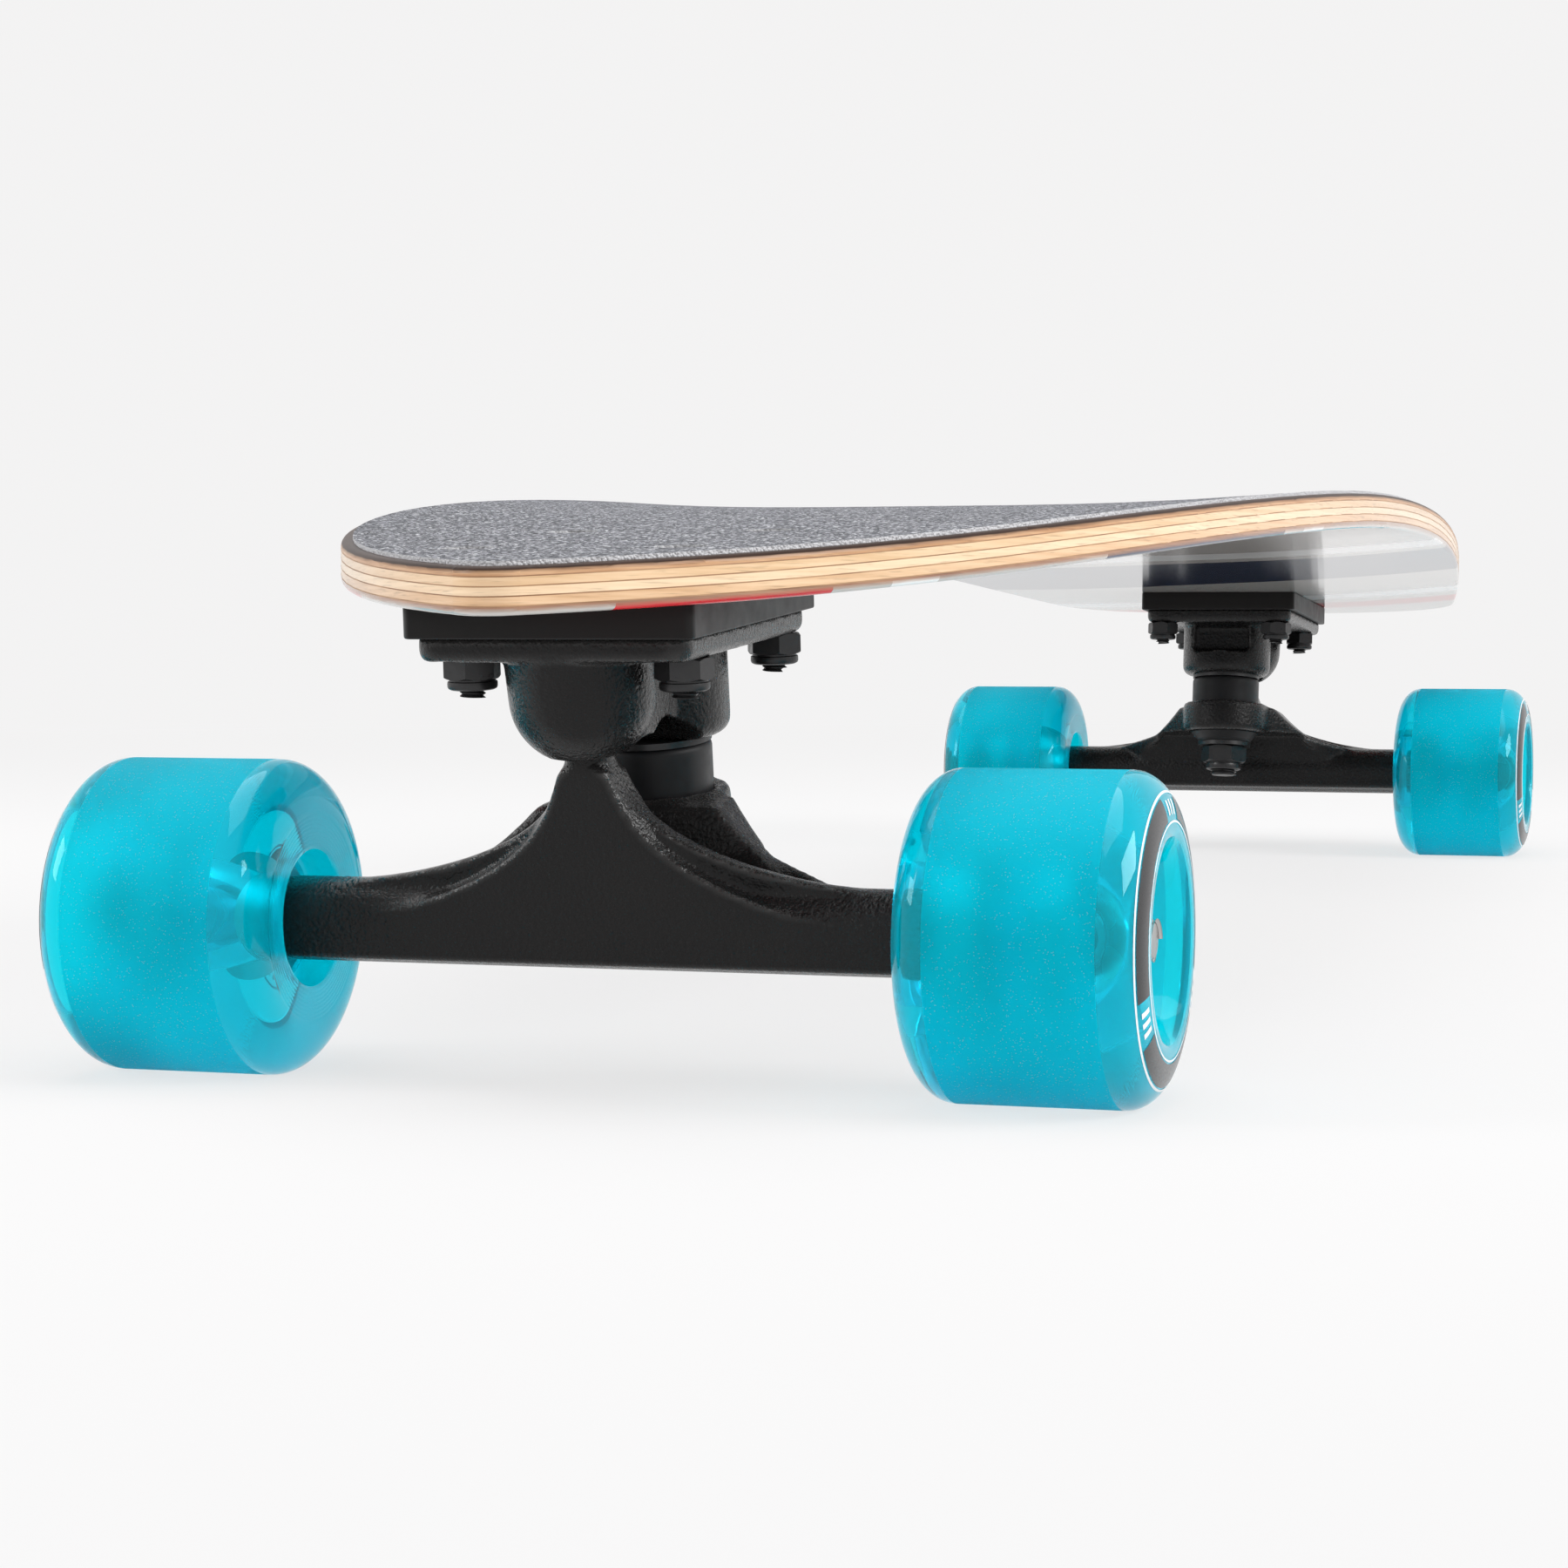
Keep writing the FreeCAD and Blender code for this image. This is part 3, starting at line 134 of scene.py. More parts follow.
class Shading(Tree):
    """A material under construction, with one method for each node it needs."""

    def __init__(self, name):
        self.material = bpy.data.materials.new(name)
        super().__init__(self.material, "ShaderNodeOutputMaterial")
        self.place = self.nodes.new("ShaderNodeTexCoord").outputs["Object"]

    def stretched(self, scale, turn=(0, 0, 0), shift=(0, 0, 0)):
        mapping = self.node("ShaderNodeMapping", {
            "Vector": self.place, "Scale": scale, "Rotation": turn, "Location": shift})
        return mapping.outputs["Vector"]

    def noise(self, scale, detail=3.0, where=None):
        made = self.node("ShaderNodeTexNoise", {
            "Vector": where or self.place, "Scale": scale, "Detail": detail, "Roughness": 0.55})
        return made.outputs["Fac"]

    def cells(self, scale, output="Distance"):
        made = self.node("ShaderNodeTexVoronoi", {"Vector": self.place, "Scale": scale})
        return made.outputs[output]

    def ramp(self, value, stops):
        made = self.node("ShaderNodeValToRGB", {"Fac": value})
        ramp = made.color_ramp
        while len(ramp.elements) < len(stops):
            ramp.elements.new(0.5)
        for element, (position, color) in zip(ramp.elements, stops):
            element.position = position
            element.color = (*color, 1)
        return made.outputs["Color"]

    def spread(self, value, low, high, to_low=0.0, to_high=1.0):
        made = self.node("ShaderNodeMapRange", {
            "Value": value, "From Min": low, "From Max": high, "To Min": to_low, "To Max": to_high})
        return made.outputs["Result"]

    def mix(self, factor, first, second):
        made = self.node("ShaderNodeMix", data_type="RGBA")
        feed(self.links, made.inputs["Factor"], factor)
        for socket, value in ((made.inputs[6], first), (made.inputs[7], second)):
            feed(self.links, socket, (*value, 1) if isinstance(value, tuple) and len(value) == 3 else value)
        return made.outputs[2]

    def grazing(self, low, high):
        """A value that grows from low to high as the surface turns away from the eye."""
        away = self.node("ShaderNodeLayerWeight").outputs["Facing"]
        return self.spread(away, 0.2, 0.8, low, high)

    def bump(self, height, strength, distance):
        made = self.node("ShaderNodeBump", {"Height": height, "Strength": strength, "Distance": distance})
        return made.outputs["Normal"]

    def surface(self, values):
        shader = self.node("ShaderNodeBsdfPrincipled", values)
        self.links.new(shader.outputs["BSDF"], self.output.inputs["Surface"])
        return self.material


print("node helpers ready")

# %% [markdown]
# The board stands on a pale sheet that has no visible end. A sheet could curve up behind the board, but
# the board is looked at from all sides, so the floor is a wide flat grid that fades into the white of
# the world.

# %% Floor
FLOOR_HALF = 6.0
FLOOR_COLOR = (0.86, 0.86, 0.865)
BACKDROP_COLOR = (0.9, 0.895, 0.895)
FADE_FROM = 0.5
FADE_TO = 1.8
TABLE_GLOW = 0.78
PAPER_GRAIN = 900.0
PAPER_SHADE = 0.985


def add_piece(name, mesh_maker):
    """Put a finished bmesh into a new object at the origin."""
    mesh = bpy.data.meshes.new(name)
    mesh_maker.to_mesh(mesh)
    mesh_maker.free()
    piece = bpy.data.objects.new(name, mesh)
    bpy.context.scene.collection.objects.link(piece)
    return piece


floor_mesh = bmesh.new()
bmesh.ops.create_grid(floor_mesh, x_segments=1, y_segments=1, size=FLOOR_HALF)
floor = add_piece("floor", floor_mesh)

sheet = Shading("pale_floor")
grain = sheet.noise(PAPER_GRAIN)
paper = sheet.node("ShaderNodeBsdfDiffuse", {
    "Color": sheet.mix(grain, FLOOR_COLOR, tuple(c * PAPER_SHADE for c in FLOOR_COLOR)),
    "Roughness": 0.6})
distance = sheet.node("ShaderNodeVectorMath", {0: sheet.place}, operation="LENGTH").outputs["Value"]
far = sheet.spread(distance, FADE_FROM, FADE_TO, TABLE_GLOW, 1.0)
glow = sheet.node("ShaderNodeEmission", {"Color": (*BACKDROP_COLOR, 1), "Strength": 1.0})
sheet.blended(sheet.math("MULTIPLY", far, sheet.seen()), paper, glow)
floor.data.materials.append(sheet.material)
print("floor", 2 * FLOOR_HALF, "m wide")

# %% [markdown]
# A studio is a white room with a few large soft lamps. A ray from the eye, or one that a surface mirrors
# or lets through, sees plain white, and all other rays get a weaker fill, so that the lamps shape the
# board. A wide softbox hangs above, a small one stands at the left, and a stronger one at the right.

# %% World and lamps
SKY_FILL = 0.55
# place, target, width and height in metres, then watts
SOFTBOXES = {
    "top_softbox": ((-0.1, 0.1, 1.5), (0, 0, 0), 1.8, 1.2, 16.0),
    "left_softbox": ((-0.9, 1.2, 0.75), (-0.2, 0, 0.05), 0.55, 0.55, 7.0),
    "right_softbox": ((-0.25, -1.25, 0.75), (-0.2, 0, 0.06), 0.8, 0.5, 14.0),
}

world = bpy.data.worlds.new("studio")
bpy.context.scene.world = world
sky = Tree(world, "ShaderNodeOutputWorld")
fill = sky.node("ShaderNodeBackground", {"Color": (1, 1, 1, 1), "Strength": SKY_FILL})
white = sky.node("ShaderNodeBackground", {"Color": (*BACKDROP_COLOR, 1), "Strength": 1.0})
sky.blended(sky.seen(), fill, white)


def softbox(name, place, target, width, height, watts):
    lamp = bpy.data.lights.new(name, "AREA")
    lamp.shape = "RECTANGLE"
    lamp.size, lamp.size_y, lamp.energy = width, height, watts
    holder = bpy.data.objects.new(name, lamp)
    bpy.context.scene.collection.objects.link(holder)
    holder.location = place
    holder.rotation_euler = (Vector(target) - Vector(place)).to_track_quat("-Z", "Y").to_euler()


for lamp_name, setting in SOFTBOXES.items():
    softbox(lamp_name, *setting)
bpy.context.scene.view_settings.view_transform = "Standard"
print("lamps:", list(SOFTBOXES))

# %% [markdown]
# ## Finishes of the hard parts
# Cast and bolted parts are black, but not the same black. The castings carry a powder coat that dries
# with a fine leathery grain, the pad between deck and truck is smooth moulded plastic, and the
# fasteners are blackened steel. Each finish is a small set of noise nodes on Object coordinates, so the
# grain keeps its real size on every piece. The powder coat's colour is painted lighter where the surface
# is sharply bent, a painted highlight along the edges of a casting, and the coat also reflects more there.
# All but the steel shine more where they turn away from the eye, so their fronts stay deep black.

# %% Black finishes
def powder_coat():
    coat = Shading("powder_coat")
    grain = coat.noise(1150.0, detail=2.0)
    patches = coat.noise(45.0)
    sharpness = coat.node("ShaderNodeNewGeometry").outputs["Pointiness"]
    # Sharply bent edges get a lighter base colour, a painted highlight, as well as more shine.
    edge = coat.spread(sharpness, 0.51, 0.56)
    paint = coat.mix(patches, (0.0075, 0.0072, 0.0075), (0.012, 0.0112, 0.011))
    return coat.surface({
        "Base Color": coat.mix(edge, paint, (0.045, 0.043, 0.042)),
        "Roughness": coat.spread(grain, 0.3, 0.7, 0.2, 0.32),
        "Specular IOR Level": coat.math("ADD", coat.grazing(0.18, 0.8),
                                        coat.math("MULTIPLY", edge, 0.3)),
        "Normal": coat.bump(grain, 0.6, 0.0005)})


def moulded_plastic():
    plastic = Shading("moulded_plastic")
    haze = plastic.noise(260.0, detail=4.0)
    fine = plastic.noise(5200.0, detail=1.0)
    return plastic.surface({
        "Base Color": plastic.mix(haze, (0.0085, 0.0078, 0.0076), (0.012, 0.011, 0.0108)),
        "Roughness": plastic.spread(haze, 0.3, 0.7, 0.5, 0.62),
        "Specular IOR Level": plastic.grazing(0.15, 1.0),
        "Normal": plastic.bump(fine, 0.12, 0.00005)})


def black_steel():
    steel = Shading("black_steel")
    rub = steel.noise(700.0, detail=4.0)
    return steel.surface({
        "Base Color": steel.mix(rub, (0.014, 0.014, 0.0155), (0.034, 0.033, 0.033)),
        "Metallic": 0.35,
        "Roughness": steel.spread(rub, 0.3, 0.7, 0.26, 0.44),
        "Normal": steel.bump(rub, 0.08, 0.00008)})


def bushing_urethane():
    urethane = Shading("bushing_urethane")
    haze = urethane.noise(380.0)
    return urethane.surface({
        "Base Color": urethane.mix(haze, (0.008, 0.008, 0.009), (0.014, 0.014, 0.015)),
        "Roughness": urethane.spread(haze, 0.3, 0.7, 0.42, 0.56),
        "Specular IOR Level": urethane.grazing(0.2, 0.8),
        "Normal": urethane.bump(haze, 0.1, 0.0001)})


finishes = {
    "truck_paint": powder_coat(),
    "riser_plastic": moulded_plastic(),
    "black_steel": black_steel(),
    "bushing_urethane": bushing_urethane(),
}
print("black finishes:", sorted(finishes))

# %% [markdown]
# Bright steel shows at the axle ends and in the bearings. Turning leaves fine rings round the axle, so
# the noise is squeezed along the axle: the marks then run round it.

# %% Bright steel
def turned_steel(name, color, roughness):
    steel = Shading(name)
    rings = steel.noise(1.0, detail=3.0, where=steel.stretched((60.0, 5200.0, 60.0)))
    stain = steel.noise(300.0)
    return steel.surface({
        "Base Color": steel.mix(stain, color, tuple(c * 0.8 for c in color)),
        "Metallic": 1.0,
        "Roughness": steel.spread(rings, 0.3, 0.7, roughness - 0.06, roughness + 0.1),
        "Normal": steel.bump(rings, 0.1, 0.00003)})


finishes["axle_steel"] = turned_steel("axle_steel", (0.52, 0.51, 0.5), 0.3)
finishes["bearing_steel"] = turned_steel("bearing_steel", (0.62, 0.62, 0.63), 0.2)
print("bright finishes:", "axle_steel", "bearing_steel")

# %% [markdown]
# ## Deck finishes
# The deck is five veneers under a grit sheet. The cut edge shows each veneer as a warm stripe with
# grain running along the board. The lowest veneer wears a printed and lacquered face below, and the
# highest one a dark stain that shows as a glossy rim round the grit. One material tells the faces of a
# veneer apart by how far they look up or down.

# %% Veneers
STREAK_SCALE = (9.0, 60.0, 900.0)
PORE_SCALE = (140.0, 140.0, 2600.0)
PLY_OFFSET = 3.7
# light and dark wood of the plies inside
VENEERS = {
    2: ((0.80, 0.55, 0.345), (0.62, 0.37, 0.195)),
    3: ((0.89, 0.68, 0.465), (0.76, 0.53, 0.325)),
    4: ((0.83, 0.60, 0.385), (0.66, 0.42, 0.225)),
}


def facing(shading, low, high):
    """0 to 1 as a face turns from looking at low to looking at high, upward being 1."""
    normal = shading.node("ShaderNodeNewGeometry").outputs["Normal"]
    upward = shading.node("ShaderNodeSeparateXYZ", {0: normal}).outputs["Z"]
    return shading.spread(upward, low, high)


def veneer_edge(shading, light, dark, offset):
    """Colour of a veneer's cut edge: long streaks along the board, with pores."""
    along_board = shading.stretched(STREAK_SCALE, shift=(offset, 0, 0))
    streaks = shading.noise(1.0, detail=4.0, where=along_board)
    in_layers = shading.stretched(PORE_SCALE, shift=(0, offset, 0))
    pores = shading.noise(1.0, detail=2.0, where=in_layers)
    wood = shading.mix(shading.spread(streaks, 0.3, 0.7), light, dark)
    return shading.mix(shading.spread(pores, 0.56, 0.72, 0.0, 0.45), wood, tuple(c * 0.5 for c in dark))


def lacquered(shading, color, roughness=0.3, coat=0.5, shine=0.3):
    ripple = shading.noise(90.0, detail=1.0)
    return shading.surface({
        "Base Color": color,
        "Roughness": roughness,
        "Specular IOR Level": shine,
        "Coat Weight": coat,
        "Coat Roughness": 0.1,
        "Normal": shading.bump(ripple, 0.04, 0.0004)})


for number, (light, dark) in VENEERS.items():
    edge = Shading("veneer_%d" % number)
    wood = veneer_edge(edge, light, dark, number * PLY_OFFSET)
    finishes["deck_ply_%d" % number] = lacquered(edge, wood)

top = Shading("veneer_top")
top_edge = veneer_edge(top, (0.66, 0.41, 0.24), (0.45, 0.225, 0.105), 1.3)
stain = top.mix(top.noise(70.0), (0.014, 0.008, 0.0065), (0.055, 0.026, 0.016))
stained = facing(top, 0.1, 0.5)
finishes["deck_ply_5"] = lacquered(
    top, top.mix(stained, top_edge, stain), coat=0.0,
    roughness=top.spread(stained, 0.0, 1.0, 0.3, 0.38), shine=top.spread(stained, 0.0, 1.0, 0.3, 0.12))
print("veneers:", sorted(name for name in finishes if name.startswith("deck_ply")))

# %% [markdown]
# The face below is a pale warm grey with broad slanting bands across the board, under clear lacquer.
# The bands come from one turned coordinate: a value that grows across the bands is cut into steps.

# %% Printed underside
BAND_TURN = math.radians(24)
GROUND = (0.55, 0.52, 0.49)
RED, CHALK, NAVY = (0.62, 0.03, 0.035), (0.86, 0.86, 0.85), (0.02, 0.035, 0.085)
# where each band starts and ends, in metres along the turned coordinate
BANDS = [
    (-0.345, -0.300, RED),
    (-0.285, -0.272, CHALK),
    (-0.215, -0.120, NAVY),
    (-0.105, -0.088, CHALK),
    (0.105, 0.135, CHALK),
    (0.150, 0.240, NAVY),
    (0.300, 0.316, CHALK),
    (0.330, 0.350, RED),
]

under = Shading("veneer_bottom")
turned_place = under.stretched((1, 1, 1), (0, 0, BAND_TURN))
slant = under.node("ShaderNodeSeparateXYZ", {0: turned_place}).outputs["X"]
print_color = under.mix(under.noise(14.0), GROUND, tuple(c * 0.94 for c in GROUND))
for start, end, color in BANDS:
    inside = under.math("MULTIPLY", under.math("GREATER_THAN", slant, start),
                        under.math("LESS_THAN", slant, end))
    print_color = under.mix(inside, print_color, color)
bottom_edge = veneer_edge(under, (0.42, 0.235, 0.14), (0.27, 0.135, 0.085), 5.1)
printed_face = facing(under, -0.12, -0.6)
finishes["deck_ply_1"] = lacquered(under, under.mix(printed_face, bottom_edge, print_color), roughness=0.16)
print("bands below:", len(BANDS))

# %% [markdown]
# Between the veneers a thin dark line of glue shows all round the cut edge. It is real material that
# stands a hair proud after sanding, so it is made as a ribbon: the rim edges of each veneer's upper
# face are kept, pulled up into a strip and given a little thickness.

# %% Glue lines
GLUE_HEIGHT = 0.00017
GLUE_PROUD = 0.00003
HOLES_WITHIN = (0.37, 0.03)
CUT_FACE_LIFT, TOP_FACE_LIFT = 0.5, 0.8
SPLIT_CORNER = 1e-6


def merged_copy(name):
    """A bmesh of a solid with its split corners joined."""
    shape = bmesh.new()
    shape.from_mesh(nodes[name].data)
    shape.transform(nodes[name].matrix_world)
    bmesh.ops.remove_doubles(shape, verts=shape.verts, dist=SPLIT_CORNER)
    return shape


def on_upper_rim(edge):
    """True where a face that looks up meets a cut face, away from the bolt holes."""
    if not edge.is_manifold:
        return False
    steepest = min(abs(face.normal.z) for face in edge.link_faces)
    lifts = max(face.normal.z for face in edge.link_faces)
    middle = (edge.verts[0].co + edge.verts[1].co) / 2
    near_holes = abs(middle.x) < HOLES_WITHIN[0] and abs(middle.y) < HOLES_WITHIN[1]
    return steepest < CUT_FACE_LIFT and lifts > TOP_FACE_LIFT and not near_holes


glue = Shading("glue_line")
glue_tone = glue.noise(1.0, detail=2.0, where=glue.stretched((60.0, 60.0, 900.0)))
glue_finish = glue.surface({
    "Base Color": glue.mix(glue.spread(glue_tone, 0.35, 0.65), (0.24, 0.115, 0.05),
                           (0.44, 0.25, 0.125)),
    "Roughness": 0.45})
for number in range(1, 5):
    ribbon = merged_copy("deck_ply_%d" % number)
    ribbon.normal_update()
    rim = {edge for edge in ribbon.edges if on_upper_rim(edge)}
    bmesh.ops.delete(ribbon, geom=ribbon.faces[:], context="FACES_ONLY")
    bmesh.ops.delete(ribbon, geom=[edge for edge in ribbon.edges if edge not in rim], context="EDGES")
    raised = bmesh.ops.extrude_edge_only(ribbon, edges=ribbon.edges[:])["geom"]
    upper = {item for item in raised if isinstance(item, bmesh.types.BMVert)}
    lower = [vert for vert in ribbon.verts if vert not in upper]
    bmesh.ops.translate(ribbon, verts=list(upper), vec=(0, 0, GLUE_HEIGHT / 2))
    bmesh.ops.translate(ribbon, verts=lower, vec=(0, 0, -GLUE_HEIGHT / 2))
    bmesh.ops.recalc_face_normals(ribbon, faces=ribbon.faces)
    bmesh.ops.solidify(ribbon, geom=ribbon.faces[:], thickness=GLUE_PROUD)
    bmesh.ops.recalc_face_normals(ribbon, faces=ribbon.faces)
    line = add_piece("glue_line_%d" % number, ribbon)
    proud = line.modifiers.new("proud", "DISPLACE")
    proud.strength = GLUE_PROUD
    proud.mid_level = 0.0
    line.data.materials.append(glue_finish)
    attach(line, "deck")
    print(line.name, len(line.data.polygons), "faces")

# %% [markdown]
# The grit sheet is coarse mineral in dark resin. Small Voronoi cells make the grains: each cell has its
# own grey, most of them dark, and its dome lifts the surface. The few nearly white grains are painted
# glints. The sheet's cut edge is pale where a file has trimmed it.

# %% Grit sheet
GRAINS_PER_METRE = 1750.0

grit = Shading("grit_sheet")
grain_tint = grit.cells(GRAINS_PER_METRE, output="Color")
grain_shade = grit.node("ShaderNodeSeparateColor", {0: grain_tint}).outputs[0]
grain_dome = grit.cells(GRAINS_PER_METRE)
# Dark to grey stops are the grains' own tone; the nearly white top of the ramp is painted glints.
grain_and_glint_color = grit.ramp(grain_shade, [
    (0.0, (0.012, 0.013, 0.017)), (0.4, (0.036, 0.039, 0.05)), (0.75, (0.12, 0.126, 0.152)),
    (0.9, (0.36, 0.37, 0.42)), (1.0, (0.95, 0.96, 1.0))])
cloud = grit.spread(grit.noise(28.0), 0.3, 0.7, 0.0, 0.25)
worn_color = grit.mix(cloud, grain_and_glint_color, (0.09, 0.093, 0.105))
finishes["grip_sheet"] = grit.surface({
    "Base Color": grit.mix(facing(grit, 0.75, 0.45), worn_color, (0.6, 0.6, 0.62)),
    "Roughness": grit.spread(grain_shade, 0.0, 1.0, 0.85, 0.35),
    "Normal": grit.bump(grit.math("SUBTRACT", 1.0, grain_dome), 0.9, 0.0004)})
print("grit grains per metre:", GRAINS_PER_METRE)

# %% [markdown]
# ## Wheels
# Each wheel is cast in clear teal urethane. The running band is ground and looks frosted, the lips keep
# the mould's gloss, and the flat inner face still shows the rings of the lathe. A lathe part is best
# made as a lathe makes it: its outline is drawn once, as a chain of points, and spun round the axle.
# Radii are taken from the axle and stations from the board's middle line, in millimetres.

# %% Wheel outline
MM = 0.001
AXLE_STATION = 0.33756
AXLE_HEIGHT = 0.0305
TREAD_RADIUS = 30.5
INNER_FACE = 60.7
OUTER_FACE = 106.7
LIP_AXIAL = 7.5
LIP_RADIAL = 10.0
LIP_STEPS = 14
DISC_RADIUS = TREAD_RADIUS - LIP_RADIAL
RECESS_RADIUS = 13.0
RECESS_FLOOR = 67.5
SEAT_RADIUS = 10.98
HUB_RADIUS = 7.5
HUB_FROM, HUB_TO = 74.5, 84.5
BOWL_FLOOR = 91.5
BOWL_RADIUS = 12.5
MOUTH_RADIUS = 18.5
LATHE_RINGS = 8
LATHE_DEPTH = 0.07
GROOVE_FROM, GROOVE_DEEPEST = 0.4, 0.7
LATHE_MARGIN = 1.4
# an eased edge: its full width, and the middle point of its rounding
EASE, EASE_SIDE, EASE_DEPTH = 0.9, 0.3, 0.25
FLOOR_EASE = 0.5
MOUTH_EASE, MOUTH_SIDE = 0.8, 0.2
TREAD_EDGE = 0.3
TREAD_PARTS = 6
BOWL_PARTS = 6
BOWL_CURVE = 1.2


def lip_point(face, inward, turn):
    """A point on an elliptical lip; turn 0 is at the tread, 1 at the face."""
    angle = turn * math.pi / 2
    return (DISC_RADIUS + LIP_RADIAL * math.cos(angle), face + inward * LIP_AXIAL * (1 - math.sin(angle)))


def wheel_outline():
    """(radius, station) points, in millimetres, round the wheel's section."""
    points = [(HUB_RADIUS, HUB_TO), (HUB_RADIUS, HUB_FROM), (SEAT_RADIUS, HUB_FROM),
              (SEAT_RADIUS, RECESS_FLOOR)]
    points += [(RECESS_RADIUS - FLOOR_EASE, RECESS_FLOOR), (RECESS_RADIUS, RECESS_FLOOR - FLOOR_EASE)]
    points += [(RECESS_RADIUS, INNER_FACE + EASE), (RECESS_RADIUS + EASE_SIDE, INNER_FACE + EASE_DEPTH),
               (RECESS_RADIUS + EASE, INNER_FACE)]
    pitch = (DISC_RADIUS - RECESS_RADIUS - LATHE_MARGIN) / LATHE_RINGS
    for ring in range(LATHE_RINGS):
        radius = RECESS_RADIUS + EASE + pitch * ring
        points += [(radius + pitch * GROOVE_FROM, INNER_FACE),
                   (radius + pitch * GROOVE_DEEPEST, INNER_FACE + LATHE_DEPTH),
                   (radius + pitch, INNER_FACE)]
    points += [lip_point(INNER_FACE, 1, 1 - step / LIP_STEPS) for step in range(LIP_STEPS + 1)]
    tread_from, tread_to = INNER_FACE + LIP_AXIAL, OUTER_FACE - LIP_AXIAL
    points += [(TREAD_RADIUS, tread_from + TREAD_EDGE)]
    points += [(TREAD_RADIUS, tread_from + (tread_to - tread_from) * part / TREAD_PARTS)
               for part in range(1, TREAD_PARTS)]
    points += [(TREAD_RADIUS, tread_to - TREAD_EDGE)]
    points += [lip_point(OUTER_FACE, -1, step / LIP_STEPS) for step in range(LIP_STEPS + 1)]
    points += [(MOUTH_RADIUS + MOUTH_EASE, OUTER_FACE),
               (MOUTH_RADIUS + MOUTH_SIDE, OUTER_FACE - EASE_DEPTH),
               (MOUTH_RADIUS - MOUTH_SIDE, OUTER_FACE - EASE)]
    for part in range(1, BOWL_PARTS):
        fall = part / BOWL_PARTS
        narrowing = (BOWL_RADIUS + MOUTH_EASE - MOUTH_RADIUS) * fall ** BOWL_CURVE
        points.append((MOUTH_RADIUS - MOUTH_SIDE + narrowing,
                       OUTER_FACE - EASE + (BOWL_FLOOR + EASE - OUTER_FACE) * fall))
    points += [(BOWL_RADIUS + EASE_SIDE, BOWL_FLOOR + EASE_DEPTH), (BOWL_RADIUS - EASE_SIDE, BOWL_FLOOR)]
    return points + [(SEAT_RADIUS, BOWL_FLOOR), (SEAT_RADIUS, HUB_TO)]


outline = wheel_outline()
print("wheel outline points:", len(outline))

# %% [markdown]
# Clear urethane takes its colour from its depth, so the tint sits in the volume as well as on the
# surface. A closed casting has one material: an attribute on its points says where it is frosted, and the
# ground band is rough and carries painted glints, a few lighter specks, while the lips let light through.

# %% Wheel urethane
def wheel_urethane():
    clear = Shading("wheel_urethane")
    frost = clear.node("ShaderNodeAttribute", attribute_name="frost").outputs["Fac"]
    haze = clear.noise(3200.0, detail=2.0)
    rough = clear.math("MULTIPLY", frost, clear.spread(haze, 0.3, 0.7, 0.55, 0.75))
    # A few cells on the ground band are painted lighter: painted glints of the frosted surface.
    painted_glint_tint = clear.cells(5200.0, output="Color")
    painted_glint = clear.node("ShaderNodeSeparateColor", {0: painted_glint_tint}).outputs[0]
    ground = clear.mix(clear.spread(painted_glint, 0.96, 1.0, 0.0, 0.4), (0.0, 0.77, 0.93), (0.6, 0.95, 1.0))
    clear.surface({
        "Base Color": clear.mix(frost, (0.0, 0.84, 0.97), ground),
        "Roughness": clear.math("ADD", rough, 0.02),
        "IOR": 1.4,
        "Specular IOR Level": 0.14,
        "Specular Tint": clear.mix(frost, (0.5, 0.95, 1.0), (0.1, 0.85, 1.0)),
        "Transmission Weight": clear.spread(frost, 0.0, 1.0, 0.8, 0.72),
        "Normal": clear.bump(clear.math("MULTIPLY", haze, frost), 0.25, 0.0001)})
    tint = clear.node("ShaderNodeVolumeAbsorption", {
        "Color": (0.0, 0.93, 0.96, 1), "Density": 70.0})
    clear.links.new(tint.outputs[0], clear.output.inputs["Volume"])
    return clear.material


finishes["wheel_urethane"] = wheel_urethane()
print("wheel finish:", finishes["wheel_urethane"].name)

# %% [markdown]
# The outline is set up straight above each axle and spun through a full turn. Only the points of the
# running band are marked as frosted.

# %% Spin the wheels
SPIN_STEPS = 128
TOUCHING = 1e-7
FROST_MARGIN = 0.1
# which end and which side of the board a wheel is on
CORNERS = {
    "front_left": (-1, 1),
    "front_right": (-1, -1),
    "rear_left": (1, 1),
    "rear_right": (1, -1),
}


def chain(mesh_maker, points, closed):
    """Vertices in a row joined by edges."""
    row = [mesh_maker.verts.new(point) for point in points]
    follow = row[1:] + row[:1] if closed else row[1:]
    edges = [mesh_maker.edges.new(pair) for pair in zip(row, follow)]
    return row + edges


def smooth(piece, angle=35):
    """Smooth shading, with edges kept where faces meet at more than an angle."""
    piece.data.shade_smooth()
    piece.data.set_sharp_from_angle(angle=math.radians(angle))


def settle(piece, finish, body_name, node_name):
    """Give a piece the finish of its slot, the body it rides on and the solid it stands for."""
    piece.data.materials.append(finishes[finish])
    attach(piece, body_name)
    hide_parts(node_name)
    print(piece.name, len(piece.data.polygons), "faces")


def wheel_centre(corner):
    """The middle of the axle that carries a wheel."""
    return Vector((CORNERS[corner][0] * AXLE_STATION, 0, AXLE_HEIGHT))


def on_wheel(corner, radius, station):
    """A point of the wheel's section, straight above the axle."""
    return wheel_centre(corner) + Vector((0, CORNERS[corner][1] * station, radius)) * MM


